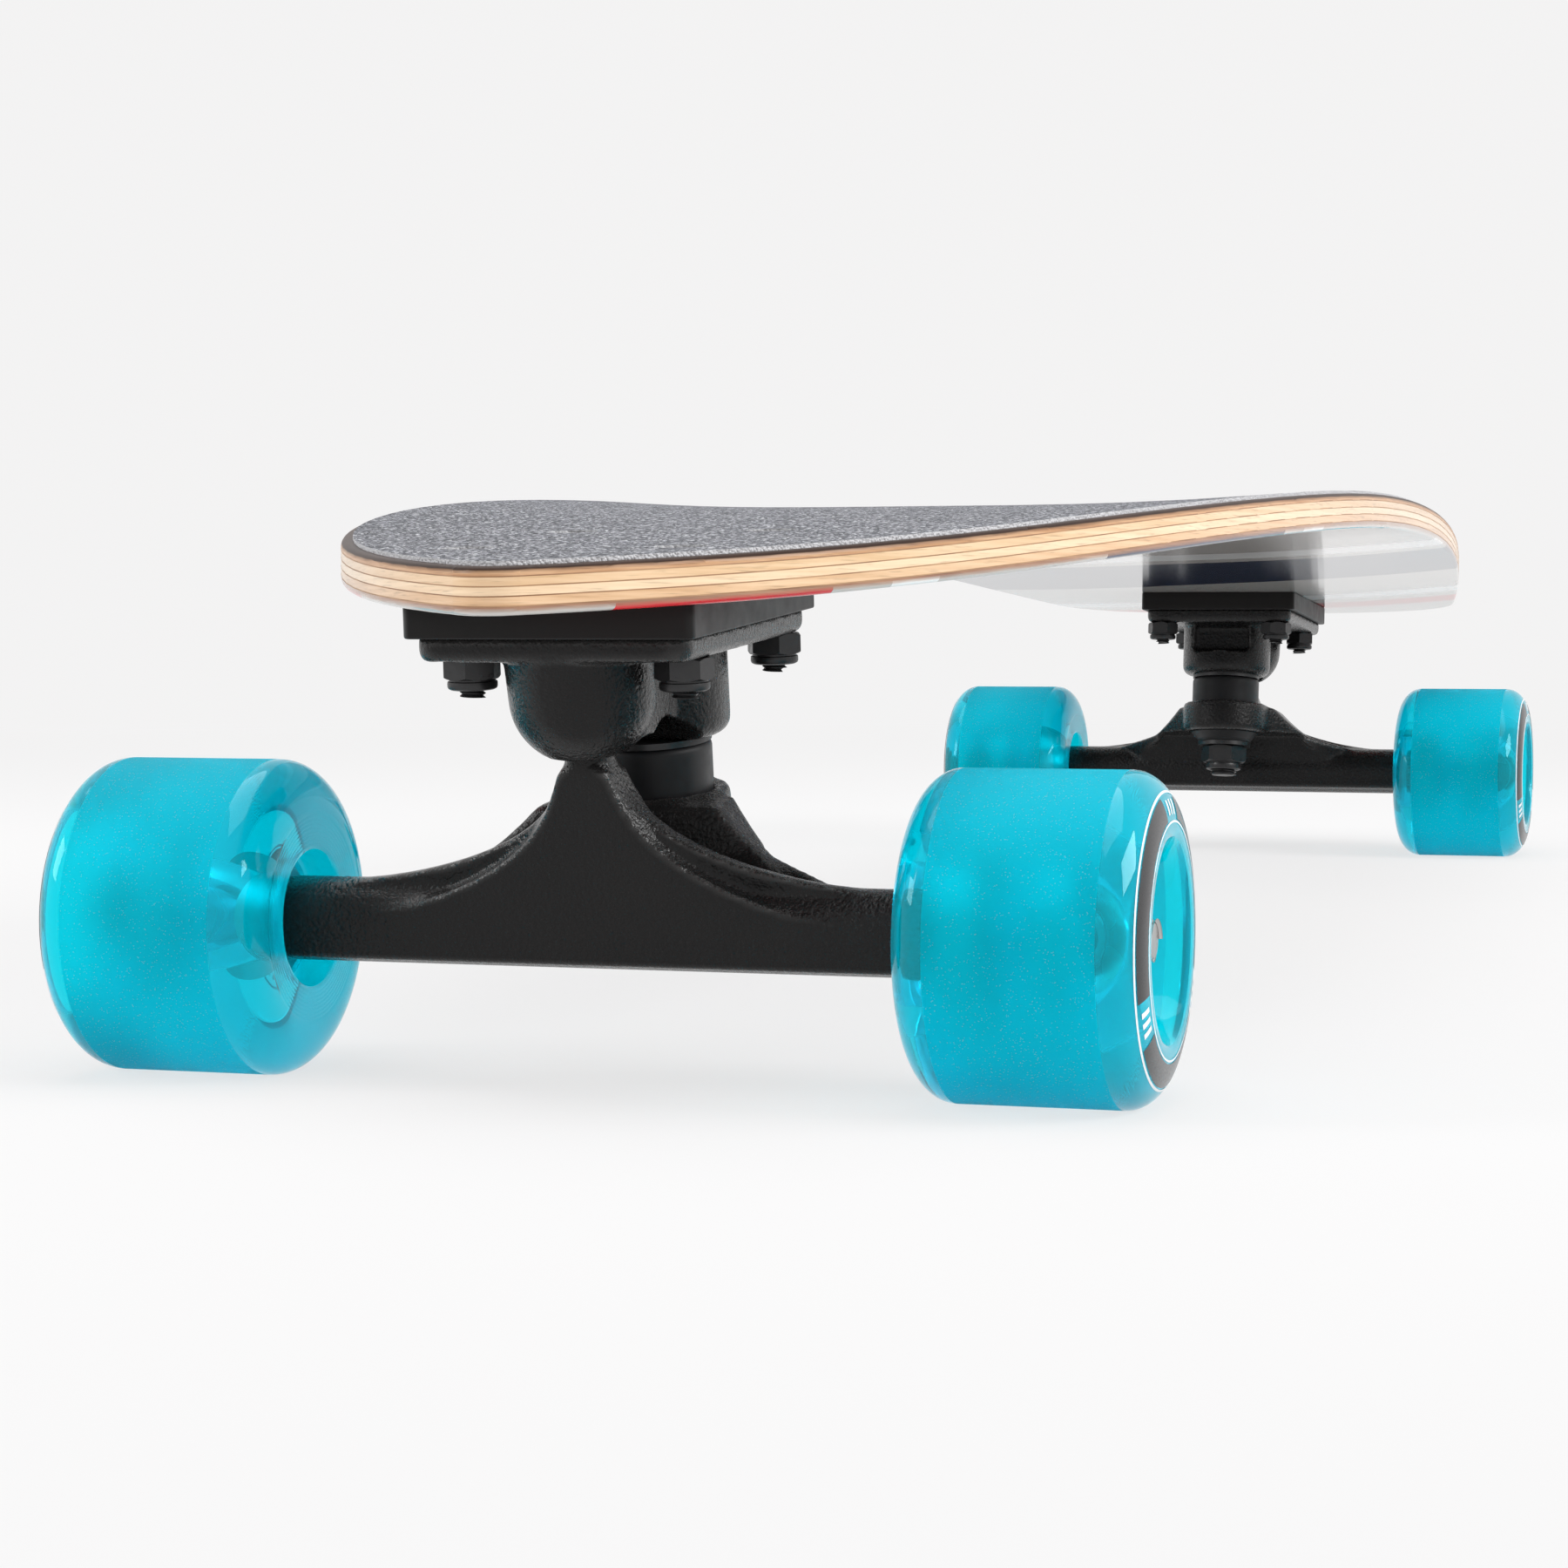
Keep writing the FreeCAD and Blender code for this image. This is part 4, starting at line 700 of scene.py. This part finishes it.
for corner in CORNERS:
    body = bmesh.new()
    axle_line = wheel_centre(corner)
    section = chain(body, [on_wheel(corner, *point) for point in outline], closed=True)
    bmesh.ops.spin(body, geom=section, cent=axle_line, axis=(0, 1, 0), angle=math.tau, steps=SPIN_STEPS,
                   use_merge=True, use_duplicate=False)
    bmesh.ops.remove_doubles(body, verts=body.verts, dist=TOUCHING)
    bmesh.ops.recalc_face_normals(body, faces=body.faces)
    wheel = add_piece(corner + "_urethane", body)
    frost = wheel.data.attributes.new("frost", "FLOAT", "POINT")
    for vertex, mark in zip(wheel.data.vertices, frost.data):
        reach = math.hypot(vertex.co.x - axle_line.x, vertex.co.z - axle_line.z) / MM
        station = abs(vertex.co.y) / MM
        from_edges = min(station - INNER_FACE, OUTER_FACE - station) - LIP_AXIAL
        on_tread = from_edges > FROST_MARGIN and reach > TREAD_RADIUS - FROST_MARGIN
        mark.value = 1.0 if on_tread else 0.0
    smooth(wheel)
    settle(wheel, "wheel_urethane", corner + "_wheel_set", corner + "_wheel")

# %% [markdown]
# The outer lip of each wheel is printed with a dark ring between two white lines. The print is a film
# that follows the lip, so a short piece of the lip's own outline, lifted a hair, is spun through a part
# of a turn for each block of ink.

# %% Print on the wheels
FILM = 0.1
FILM_PARTS = 6
DEGREES_PER_STEP = 2
LEAST_STEPS = 4
FULL_TURN = 360
DARK_BAND = (21.9, 26.2)
DARK_ARC = 98
DARK_STARTS = (10, 130, 250)
WHITE_LINES = ((21.2, 21.6), (26.5, 26.9))
BAR_BAND = (22.7, 25.4)
BAR_ARC = 2.6
BAR_PITCH = 5.0
BARS_IN_GAP = 3


def ink(name, color, roughness):
    shading = Shading(name)
    wear = shading.noise(2400.0, detail=2.0)
    return shading.surface({
        "Base Color": shading.mix(wear, color, tuple(c * 0.8 for c in color)),
        "Roughness": shading.spread(wear, 0.3, 0.7, roughness, roughness + 0.15),
        "Coat Weight": 0.4})


def film_band(shape, corner, band, start, arc):
    """Ink between two radii of the outer lip, over an arc in degrees."""
    inner, outer = band
    radii = [inner + (outer - inner) * part / FILM_PARTS for part in range(FILM_PARTS + 1)]
    rows = []
    for radius in radii:
        rise = math.sqrt(max(0.0, 1 - ((radius - DISC_RADIUS) / LIP_RADIAL) ** 2))
        rows.append(on_wheel(corner, radius, OUTER_FACE - LIP_AXIAL * (1 - rise) + FILM))
    turn = Matrix.Rotation(math.radians(start), 3, "Y")
    centre = wheel_centre(corner)
    band_row = chain(shape, [centre + turn @ (point - centre) for point in rows], closed=False)
    bmesh.ops.spin(shape, geom=band_row, cent=centre, axis=(0, 1, 0), angle=math.radians(arc),
                   steps=max(LEAST_STEPS, int(arc / DEGREES_PER_STEP)), use_merge=arc == FULL_TURN,
                   use_duplicate=False)


inks = {
    "dark": ink("print_dark", (0.012, 0.012, 0.014), 0.25),
    "light": ink("print_light", (0.86, 0.87, 0.87), 0.3),
}
for corner in CORNERS:
    dark_film, light_film = bmesh.new(), bmesh.new()
    for start in DARK_STARTS:
        film_band(dark_film, corner, DARK_BAND, start, DARK_ARC)
        gap_middle = start + DARK_ARC + (FULL_TURN / len(DARK_STARTS) - DARK_ARC) / 2
        for bar in range(BARS_IN_GAP):
            bar_start = gap_middle + (bar - (BARS_IN_GAP - 1) / 2) * BAR_PITCH - BAR_ARC / 2
            film_band(light_film, corner, BAR_BAND, bar_start, BAR_ARC)
    for white_line in WHITE_LINES:
        film_band(light_film, corner, white_line, 0, FULL_TURN)
    for tone, film in (("dark", dark_film), ("light", light_film)):
        bmesh.ops.remove_doubles(film, verts=film.verts, dist=TOUCHING)
        bmesh.ops.recalc_face_normals(film, faces=film.faces)
        printed = add_piece("%s_print_%s" % (corner, tone), film)
        printed.data.materials.append(inks[tone])
        smooth(printed)
        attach(printed, corner + "_wheel_set")
        print(printed.name, len(printed.data.polygons), "faces")

# %% [markdown]
# ## Trucks
# A truck hangs from the sloping end of the deck. A few turned frames make its pieces easy to place: one
# lies square to the baseplate, with millimetres outward, across and up from the plate's top, one runs
# along the leaning kingpin, and two start at the middle of the axle. Both trucks are the same piece
# turned half round.

# %% Truck frames
PLATE_STATION = 0.328113
PLATE_HEIGHT = 0.08759
PLATE_TILT = math.radians(4.4)
KINGPIN_SETBACK = 9.5
KINGPIN_LEAN = math.radians(4)
ENDS = {"front": math.pi, "rear": 0.0}


def plate_frame(end):
    """Millimetres outward, across and up from the baseplate's top."""
    return (Matrix.Rotation(ENDS[end], 4, "Z") @ Matrix.Translation((PLATE_STATION, 0, PLATE_HEIGHT))
            @ Matrix.Rotation(PLATE_TILT, 4, "Y") @ Matrix.Scale(MM, 4))


def kingpin_frame(end):
    """Millimetres, with Z up along the kingpin."""
    return (plate_frame(end) @ Matrix.Translation((-KINGPIN_SETBACK, 0, 0))
            @ Matrix.Rotation(KINGPIN_LEAN, 4, "Y"))


def axle_middle(end):
    return Matrix.Translation((AXLE_STATION * math.cos(ENDS[end]), 0, AXLE_HEIGHT))


def axle_frame(end, side):
    """Millimetres, with -Z pointing out along one half of the axle."""
    return axle_middle(end) @ Matrix.Rotation(side * math.pi / 2, 4, "X") @ Matrix.Scale(MM, 4)


def hanger_frame(end):
    """Millimetres outward, across and up from the middle of the axle."""
    return axle_middle(end) @ Matrix.Rotation(ENDS[end], 4, "Z") @ Matrix.Scale(MM, 4)


for end in ENDS:
    print(end, "plate at", tuple(round(c, 4) for c in plate_frame(end).translation))

# %% [markdown]
# The hanger and the baseplate are castings: no edge on them is sharp, and where two walls meet the
# metal flows in a fillet. Rounding every edge of the solids one by one would be long work. A voxel
# remesh of a merged copy, followed by a few passes of smoothing, rounds all of them at once as casting
# and paint do. Before that, the hanger's neck is drawn in a little where it meets the pivot housing, the
# ends of its wings run out on the arms in small fillets, and the kingpin boss gets the pocket that its
# core leaves on the side that looks to the board's middle.

# %% Castings
NECK_LEVELS = (-29.5, -28.0, -26.7, -25.5)
NECK_DRAW = 0.955
FILLET_POINTS = ((-12.0, 27.2, 12.0), (-8.5, 30.0, 10.2), (-7.5, 33.0, 8.0), (-4.5, 36.0, 6.5),
                 (-1.5, 44.0, 6.7))
FILLET_RADIUS = 1.4
POCKET_SIZE = (9.0, 20.0, 9.5)
POCKET_MIDDLE = (-14.6, 0.0, -10.6)
POCKET_ROUNDING = 1.5
VOXEL = 0.00065
SOFTENING = {"hanger": 26, "baseplate": 8}
SOFTEN_FACTOR = 0.5


def gather(group, part, place):
    """Add a part to a group at a place, and let go of the part."""
    part.transform(place)
    carrier = bpy.data.meshes.new("carrier")
    part.to_mesh(carrier)
    part.free()
    group.from_mesh(carrier)
    bpy.data.meshes.remove(carrier)


def draw_in_neck(shape, end):
    """Scale the neck across the board in a few steps, each from a higher level."""
    into_plate = plate_frame(end).inverted()
    for level in NECK_LEVELS:
        neck = [vert for vert in shape.verts if (into_plate @ vert.co).z > level]
        bmesh.ops.scale(shape, vec=(1, NECK_DRAW, 1), space=into_plate, verts=neck)


def run_out_wings(shape, end):
    """Add a rounded web, the hull of a few balls, where each wing ends on its arm."""
    for side in (1, -1):
        web = bmesh.new()
        for along, across, height in FILLET_POINTS:
            place = Matrix.Translation((along, side * across, height))
            bmesh.ops.create_icosphere(web, subdivisions=2, radius=FILLET_RADIUS, matrix=place)
        hull = bmesh.ops.convex_hull(web, input=web.verts)
        inner = [item for item in hull["geom_interior"] if isinstance(item, bmesh.types.BMVert)]
        bmesh.ops.delete(web, geom=inner, context="VERTS")
        gather(shape, web, hanger_frame(end))


def cut_pocket(shape, end):
    """Take a rounded block out of the boss with an exact boolean; returns the mesh that is left."""
    block = bmesh.new()
    bmesh.ops.create_cube(block, size=1.0)
    bmesh.ops.scale(block, vec=POCKET_SIZE, verts=block.verts)
    bmesh.ops.bevel(block, geom=block.edges[:], offset=POCKET_ROUNDING, segments=3, profile=0.5,
                    affect="EDGES", material=-1)
    block.transform(kingpin_frame(end) @ Matrix.Translation(POCKET_MIDDLE))
    cutter, blank = add_piece("cutter", block), add_piece("blank", shape)
    pocket = blank.modifiers.new("pocket", "BOOLEAN")
    pocket.operation, pocket.solver, pocket.object = "DIFFERENCE", "EXACT", cutter
    bpy.context.view_layer.update()
    left = bmesh.new()
    left.from_object(blank, bpy.context.evaluated_depsgraph_get())
    for helper in (blank, cutter):
        bpy.data.objects.remove(helper)
    return left


for end in ENDS:
    for kind, passes in SOFTENING.items():
        node_name = "%s_%s" % (end, kind)
        blank_shape = merged_copy(node_name)
        if kind == "hanger":
            carried_by = end + "_truck"
            draw_in_neck(blank_shape, end)
            run_out_wings(blank_shape, end)
        else:
            carried_by = "deck"
            blank_shape = cut_pocket(blank_shape, end)
        casting = add_piece(node_name + "_casting", blank_shape)
        remesh = casting.modifiers.new("remesh", "REMESH")
        remesh.mode = "VOXEL"
        remesh.voxel_size = VOXEL
        remesh.use_smooth_shade = True
        soften = casting.modifiers.new("soften", "SMOOTH")
        soften.factor = SOFTEN_FACTOR
        soften.iterations = passes
        settle(casting, "truck_paint", carried_by, node_name)

# %% [markdown]
# The pad between deck and baseplate is moulded with a small even rounding on all its edges. Here the
# solid's flat faces are first made whole again, so that a bevel finds only the true edges.

# %% Riser pads
PAD_ROUNDING = 0.00045
FLAT_WITHIN = math.radians(1)
TRUE_EDGE = math.radians(60)

for end in ENDS:
    node_name = end + "_riser_pad"
    pad = merged_copy(node_name)
    bmesh.ops.dissolve_limit(pad, angle_limit=FLAT_WITHIN, verts=pad.verts, edges=pad.edges)
    rims = [edge for edge in pad.edges if edge.is_manifold and edge.calc_face_angle() > TRUE_EDGE]
    bmesh.ops.bevel(pad, geom=rims, offset=PAD_ROUNDING, segments=3, profile=0.5, affect="EDGES",
                    material=-1)
    piece = add_piece(end + "_pad", pad)
    smooth(piece, 30)
    settle(piece, "riser_plastic", "deck", node_name)

# %% [markdown]
# ## Fasteners
# A locking nut is turned from hexagon bar: its corners are cut back by a cone at each end, and a round
# collar below holds the locking ring. The same can be done here: a turned blank with chamfers, then six
# flats sliced off. Threads are true screws, a small ridge that is spun and pulled along at once.

# %% Nuts and threads
NUT_STEPS = 72
CHAMFER_SLOPE = 1.7
THREAD_STEPS = 30
# shares of a thread's pitch: its depth, and where its root and its crest lie
THREAD_DEPTH, THREAD_ROOT, THREAD_CREST = 0.55, 0.45, 0.9
TIP_CHAMFER = 0.35
COLLAR_WAIST = 0.35
SHARP_ANGLE = 28
MERGE = 1e-4


def turned(shape, points, closed=False):
    """Spin (radius, height) points, in millimetres, round the Z axis."""
    row = chain(shape, [Vector((radius, 0, height)) for radius, height in points], closed)
    bmesh.ops.spin(shape, geom=row, cent=(0, 0, 0), axis=(0, 0, 1), angle=math.tau, steps=NUT_STEPS,
                   use_merge=True, use_duplicate=False)
    bmesh.ops.remove_doubles(shape, verts=shape.verts, dist=MERGE)


def hexagon(flats, top, bottom, bore, chamfer):
    """A chamfered hexagon with a hole, in a bmesh of its own."""
    corner = flats / math.sqrt(3)
    waist = corner - chamfer * CHAMFER_SLOPE
    block = bmesh.new()
    turned(block, [(bore, bottom), (waist, bottom), (corner, bottom + chamfer), (corner, top - chamfer),
                   (waist, top), (bore, top)], closed=True)
    for flat in range(6):
        facing_out = Vector((math.cos(flat * math.pi / 3), math.sin(flat * math.pi / 3), 0))
        whole = block.verts[:] + block.edges[:] + block.faces[:]
        sliced = bmesh.ops.bisect_plane(block, geom=whole, plane_co=facing_out * flats / 2,
                                        plane_no=facing_out, clear_outer=True)
        rim = [item for item in sliced["geom_cut"] if isinstance(item, bmesh.types.BMEdge)]
        bmesh.ops.edgeloop_fill(block, edges=rim)
    bmesh.ops.recalc_face_normals(block, faces=block.faces)
    return block


def collar(radius, top, bottom, bore):
    """The round collar of a locking nut: a waist, then a crimped ring with a rounded rim."""
    ring = bmesh.new()
    height = top - bottom
    waist = radius - COLLAR_WAIST
    turned(ring, [(bore, top), (waist, top), (waist, top - height * 0.16),
                  (radius - 0.05, top - height * 0.24), (radius, top - height * 0.4),
                  (radius, bottom + height * 0.3), (radius - height * 0.08, bottom + height * 0.12),
                  (radius - height * 0.3, bottom), (bore + 0.9, bottom), (bore + 0.25, bottom + 0.25),
                  (bore, bottom + 0.6)])
    bmesh.ops.recalc_face_normals(ring, faces=ring.faces)
    return ring


def threaded_tip(radius, pitch, start, end):
    """A screw thread from height start down to end, with a coned tip inside it."""
    tip = bmesh.new()
    turns = int((start - end) / pitch)
    core = radius - pitch * THREAD_DEPTH
    profile = ((radius, 0.0), (core, THREAD_ROOT), (radius, THREAD_CREST), (radius, 1.0))
    ridge = chain(tip, [Vector((reach, 0, start - pitch * share)) for reach, share in profile],
                  closed=False)
    bmesh.ops.spin(tip, geom=ridge, cent=(0, 0, 0), axis=(0, 0, 1), dvec=(0, 0, -pitch / THREAD_STEPS),
                   angle=math.tau * turns, steps=THREAD_STEPS * turns, use_duplicate=False)
    bmesh.ops.remove_doubles(tip, verts=tip.verts, dist=MERGE)
    turned(tip, [(0, end), (core - TIP_CHAMFER, end), (core, end + TIP_CHAMFER), (core, start),
                 (0, start)])
    bmesh.ops.recalc_face_normals(tip, faces=tip.faces)
    return tip


def fastener(name, group, finish, body_name, node_name):
    """Make a gathered group into a finished piece on its body, in place of its solid."""
    piece = add_piece(name, group)
    smooth(piece, SHARP_ANGLE)
    settle(piece, finish, body_name, node_name)


print("threads have", THREAD_STEPS, "steps a turn")

# %% [markdown]
# Four bolts hold each truck. Their flat heads lie flush in the grit, and their ends show below the
# locking nuts. No fitter lines up the nuts, so each one is turned by a different amount.

# %% Deck bolts and nuts
PATTERN_LONG = 53.98
PATTERN_ACROSS = 41.28
BOLT_RADIUS = 2.415
BOLT_PITCH = 0.79
BOLT_HEAD_TOP = 14.75
BOLT_HEAD_HEIGHT = 2.4
BOLT_HEAD_RADIUS = 4.6
BOLT_TIP = -11.5
NUT_SEAT = -4.5
NUT_FLATS = 9.5
NUT_HEX_END = -8.5
NUT_END = -10.5
SOCKET_RADIUS = 2.0
SOCKET_DEPTH = 1.6
SHANK_TAPER = 0.45
NUT_CHAMFER = 0.42
NUT_COLLAR = NUT_FLATS / 2 - 0.1
FIRST_TURN, NEXT_TURN = 17, 41


def bolt():
    """A flat-headed bolt; its hexagon socket is bridged to the rim of the head."""
    shape = bmesh.new()
    neck = BOLT_HEAD_TOP - BOLT_HEAD_HEIGHT
    turned(shape, [(BOLT_RADIUS - SHANK_TAPER, NUT_END + 2), (BOLT_RADIUS, NUT_HEX_END),
                   (BOLT_RADIUS, neck), (BOLT_HEAD_RADIUS - 0.1, BOLT_HEAD_TOP - 0.25),
                   (BOLT_HEAD_RADIUS, BOLT_HEAD_TOP - 0.12), (BOLT_HEAD_RADIUS - 0.15, BOLT_HEAD_TOP)])
    at_top = BOLT_HEAD_TOP - 0.01
    rim = [edge for edge in shape.edges if edge.is_boundary and edge.verts[0].co.z > at_top]
    socket = bmesh.ops.create_circle(shape, segments=6, radius=SOCKET_RADIUS,
                                     matrix=Matrix.Translation((0, 0, BOLT_HEAD_TOP)))
    mouth = list({edge for vert in socket["verts"] for edge in vert.link_edges})
    bmesh.ops.bridge_loops(shape, edges=rim + mouth)
    sunk = bmesh.ops.extrude_edge_only(shape, edges=mouth)["geom"]
    floor_verts = [item for item in sunk if isinstance(item, bmesh.types.BMVert)]
    bmesh.ops.translate(shape, verts=floor_verts, vec=(0, 0, -SOCKET_DEPTH))
    bmesh.ops.contextual_create(shape, geom=floor_verts)
    bmesh.ops.recalc_face_normals(shape, faces=shape.faces)
    return shape


SPOTS = [(along * PATTERN_LONG / 2, across * PATTERN_ACROSS / 2)
         for along in (-1, 1) for across in (-1, 1)]
for end in ENDS:
    bolts, nuts = bmesh.new(), bmesh.new()
    for number, (along, across) in enumerate(SPOTS):
        turn = Matrix.Rotation(math.radians(FIRST_TURN + NEXT_TURN * number), 4, "Z")
        place = plate_frame(end) @ Matrix.Translation((along, across, 0)) @ turn
        gather(bolts, bolt(), place)
        gather(bolts, threaded_tip(BOLT_RADIUS, BOLT_PITCH, NUT_END + 2.4, BOLT_TIP), place)
        gather(nuts, hexagon(NUT_FLATS, NUT_SEAT, NUT_HEX_END, BOLT_RADIUS, NUT_CHAMFER), place)
        gather(nuts, collar(NUT_COLLAR, NUT_HEX_END, NUT_END, BOLT_RADIUS), place)
    fastener(end + "_bolts", bolts, "black_steel", "deck", end + "_deck_bolts")
    fastener(end + "_lock_nuts", nuts, "black_steel", "deck", end + "_deck_lock_nuts")

# %% [markdown]
# The kingpin is a stout bolt whose head sits in the baseplate. Its nut presses the bushings together,
# and setting it makes the truck lean more easily or less.

# %% Kingpins and their nuts
KINGPIN_RADIUS = 4.76
KINGPIN_PITCH = 1.06
KINGPIN_FLATS = 14.3
HEAD_SEAT = -8.4
HEAD_TOP = -2.4
KINGPIN_NUT_SEAT = -48.8
KINGPIN_HEX_END = -54.8
KINGPIN_NUT_END = -57.4
KINGPIN_TIP = -59.4
KINGPIN_COLLAR = 6.5
KINGPIN_CHAMFER = 0.7
RUN_OUT = 0.6
NO_BORE = 0.05

for end in ENDS:
    pin, nut, shank = bmesh.new(), bmesh.new(), bmesh.new()
    place = kingpin_frame(end)
    turned(shank, [(0, HEAD_SEAT), (KINGPIN_RADIUS, HEAD_SEAT), (KINGPIN_RADIUS, KINGPIN_HEX_END),
                   (KINGPIN_RADIUS - RUN_OUT, KINGPIN_HEX_END - 1)])
    gather(pin, shank, place)
    gather(pin, hexagon(KINGPIN_FLATS, HEAD_TOP, HEAD_SEAT, NO_BORE, KINGPIN_CHAMFER), place)
    gather(pin, threaded_tip(KINGPIN_RADIUS, KINGPIN_PITCH, KINGPIN_HEX_END - 0.4, KINGPIN_TIP), place)
    gather(nut, hexagon(KINGPIN_FLATS, KINGPIN_NUT_SEAT, KINGPIN_HEX_END, KINGPIN_RADIUS,
                        KINGPIN_CHAMFER), place)
    gather(nut, collar(KINGPIN_COLLAR, KINGPIN_HEX_END, KINGPIN_NUT_END, KINGPIN_RADIUS), place)
    fastener(end + "_king_bolt", pin, "black_steel", "deck", end + "_kingpin")
    fastener(end + "_king_nut", nut, "black_steel", "deck", end + "_kingpin_nut")

# %% [markdown]
# An axle is a steel rod cast into the hanger, with a thread and a locking nut at each end. Both halves
# are made alike, each in a frame that points out along its own half.

# %% Axles and their nuts
AXLE_RADIUS = 3.97
AXLE_PITCH = 1.06
AXLE_NUT_SEAT = -92.5
AXLE_HEX_END = -97.9
AXLE_NUT_END = -100.3
AXLE_TIP = -103.5
AXLE_FLATS = 12.7
AXLE_COLLAR = 5.7
AXLE_CHAMFER = 0.6

for end in ENDS:
    rod, nuts = bmesh.new(), bmesh.new()
    for side in (1, -1):
        half = bmesh.new()
        place = axle_frame(end, side)
        turned(half, [(0, 0), (AXLE_RADIUS, 0), (AXLE_RADIUS, AXLE_HEX_END),
                      (AXLE_RADIUS - RUN_OUT, AXLE_HEX_END - 1)])
        gather(rod, half, place)
        gather(rod, threaded_tip(AXLE_RADIUS, AXLE_PITCH, AXLE_HEX_END + 0.1, AXLE_TIP), place)
        gather(nuts, hexagon(AXLE_FLATS, AXLE_NUT_SEAT, AXLE_HEX_END, AXLE_RADIUS, AXLE_CHAMFER), place)
        gather(nuts, collar(AXLE_COLLAR, AXLE_HEX_END, AXLE_NUT_END, AXLE_RADIUS), place)
    fastener(end + "_axle_rod", rod, "axle_steel", end + "_truck", end + "_axle")
    fastener(end + "_axle_lock_nuts", nuts, "black_steel", end + "_truck", end + "_axle_nuts")

# %% [markdown]
# ## Bushings
# Two urethane bushings hold the hanger's ring between washers. Both are cast with rounded rims. When
# the truck leans they are squeezed between deck and hanger. Their long sides are cut into a few rows
# of faces.

# %% Bushings
BUSHING_BORE = 5.06
BUSHING_RADIUS = 12.0
CONE_END_RADIUS = 9.3
RIM = 1.3
RIM_STEPS = 4
CONE_RIM = RIM * 0.6
SHOULDER_EASE = 0.5
PRESS_DEPTH = 2.2
LONG_EDGE = 2.5
BEND_CUTS = 5
UPPER_TOP, UPPER_BOTTOM = -24.0, -35.1
LOWER_TOP, LOWER_SHOULDER, LOWER_BOTTOM = -41.9, -44.0, -47.4


def rim_points(radius, height, inward, down):
    """Quarter round from a bushing's side to its end face: the top with down 1, the bottom with -1."""
    turns = [step * math.pi / 2 / RIM_STEPS for step in range(RIM_STEPS + 1)]
    return [(radius - inward * (1 - math.cos(turn)), height + down * inward * math.sin(turn))
            for turn in turns]


def upper_outline():
    """The barrel that sits between the boss and the ring."""
    top = rim_points(BUSHING_RADIUS, UPPER_TOP - RIM, RIM, 1)
    low = rim_points(BUSHING_RADIUS, UPPER_BOTTOM + RIM, RIM, -1)
    return [(BUSHING_BORE, UPPER_TOP)] + top[::-1] + low + [(BUSHING_BORE, UPPER_BOTTOM)]


def lower_outline():
    """The cone that sits between the ring and the nut."""
    low = rim_points(CONE_END_RADIUS + 0.3, LOWER_BOTTOM + CONE_RIM, CONE_RIM, -1)
    shoulder = [(BUSHING_RADIUS - SHOULDER_EASE, LOWER_TOP), (BUSHING_RADIUS, LOWER_TOP - SHOULDER_EASE),
                (BUSHING_RADIUS, LOWER_SHOULDER)]
    return [(BUSHING_BORE, LOWER_TOP)] + shoulder + low + [(BUSHING_BORE, LOWER_BOTTOM)]


for end in ENDS:
    for kind, points, from_height, to_height in (
            ("upper", upper_outline(), UPPER_TOP, UPPER_BOTTOM + PRESS_DEPTH),
            ("lower", lower_outline(), LOWER_BOTTOM, LOWER_SHOULDER)):
        shape = bmesh.new()
        turned(shape, points, closed=True)
        long_edges = [edge for edge in shape.edges
                      if abs(edge.verts[0].co.z - edge.verts[1].co.z) > LONG_EDGE]
        bmesh.ops.subdivide_edges(shape, edges=long_edges, cuts=BEND_CUTS)
        bmesh.ops.recalc_face_normals(shape, faces=shape.faces)
        place = kingpin_frame(end)
        shape.transform(place)
        bushing = add_piece("%s_%s_urethane" % (end, kind), shape)
        bushing.data.materials.append(finishes["bushing_urethane"])
        smooth(bushing, 40)
        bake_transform(bushing)
        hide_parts("%s_%s_bushing" % (end, kind))
        print(bushing.name, len(bushing.data.polygons), "faces")

# %% [markdown]
# ## Finishes on the solids that stay
# A solid whose shape is already right keeps its mesh and only gets its finish, by the name of its slot
# in the record or by its own name.

# %% Dress the solids
for part in frame["record"]["subparts"]:
    name, slot_name = part["node"], part["material_slot"]
    finish = finishes.get(name) or finishes[slot_name]
    solid = nodes[name]
    solid.data.materials.clear()
    solid.data.materials.append(finish)
print("dressed solids:", len(nodes))
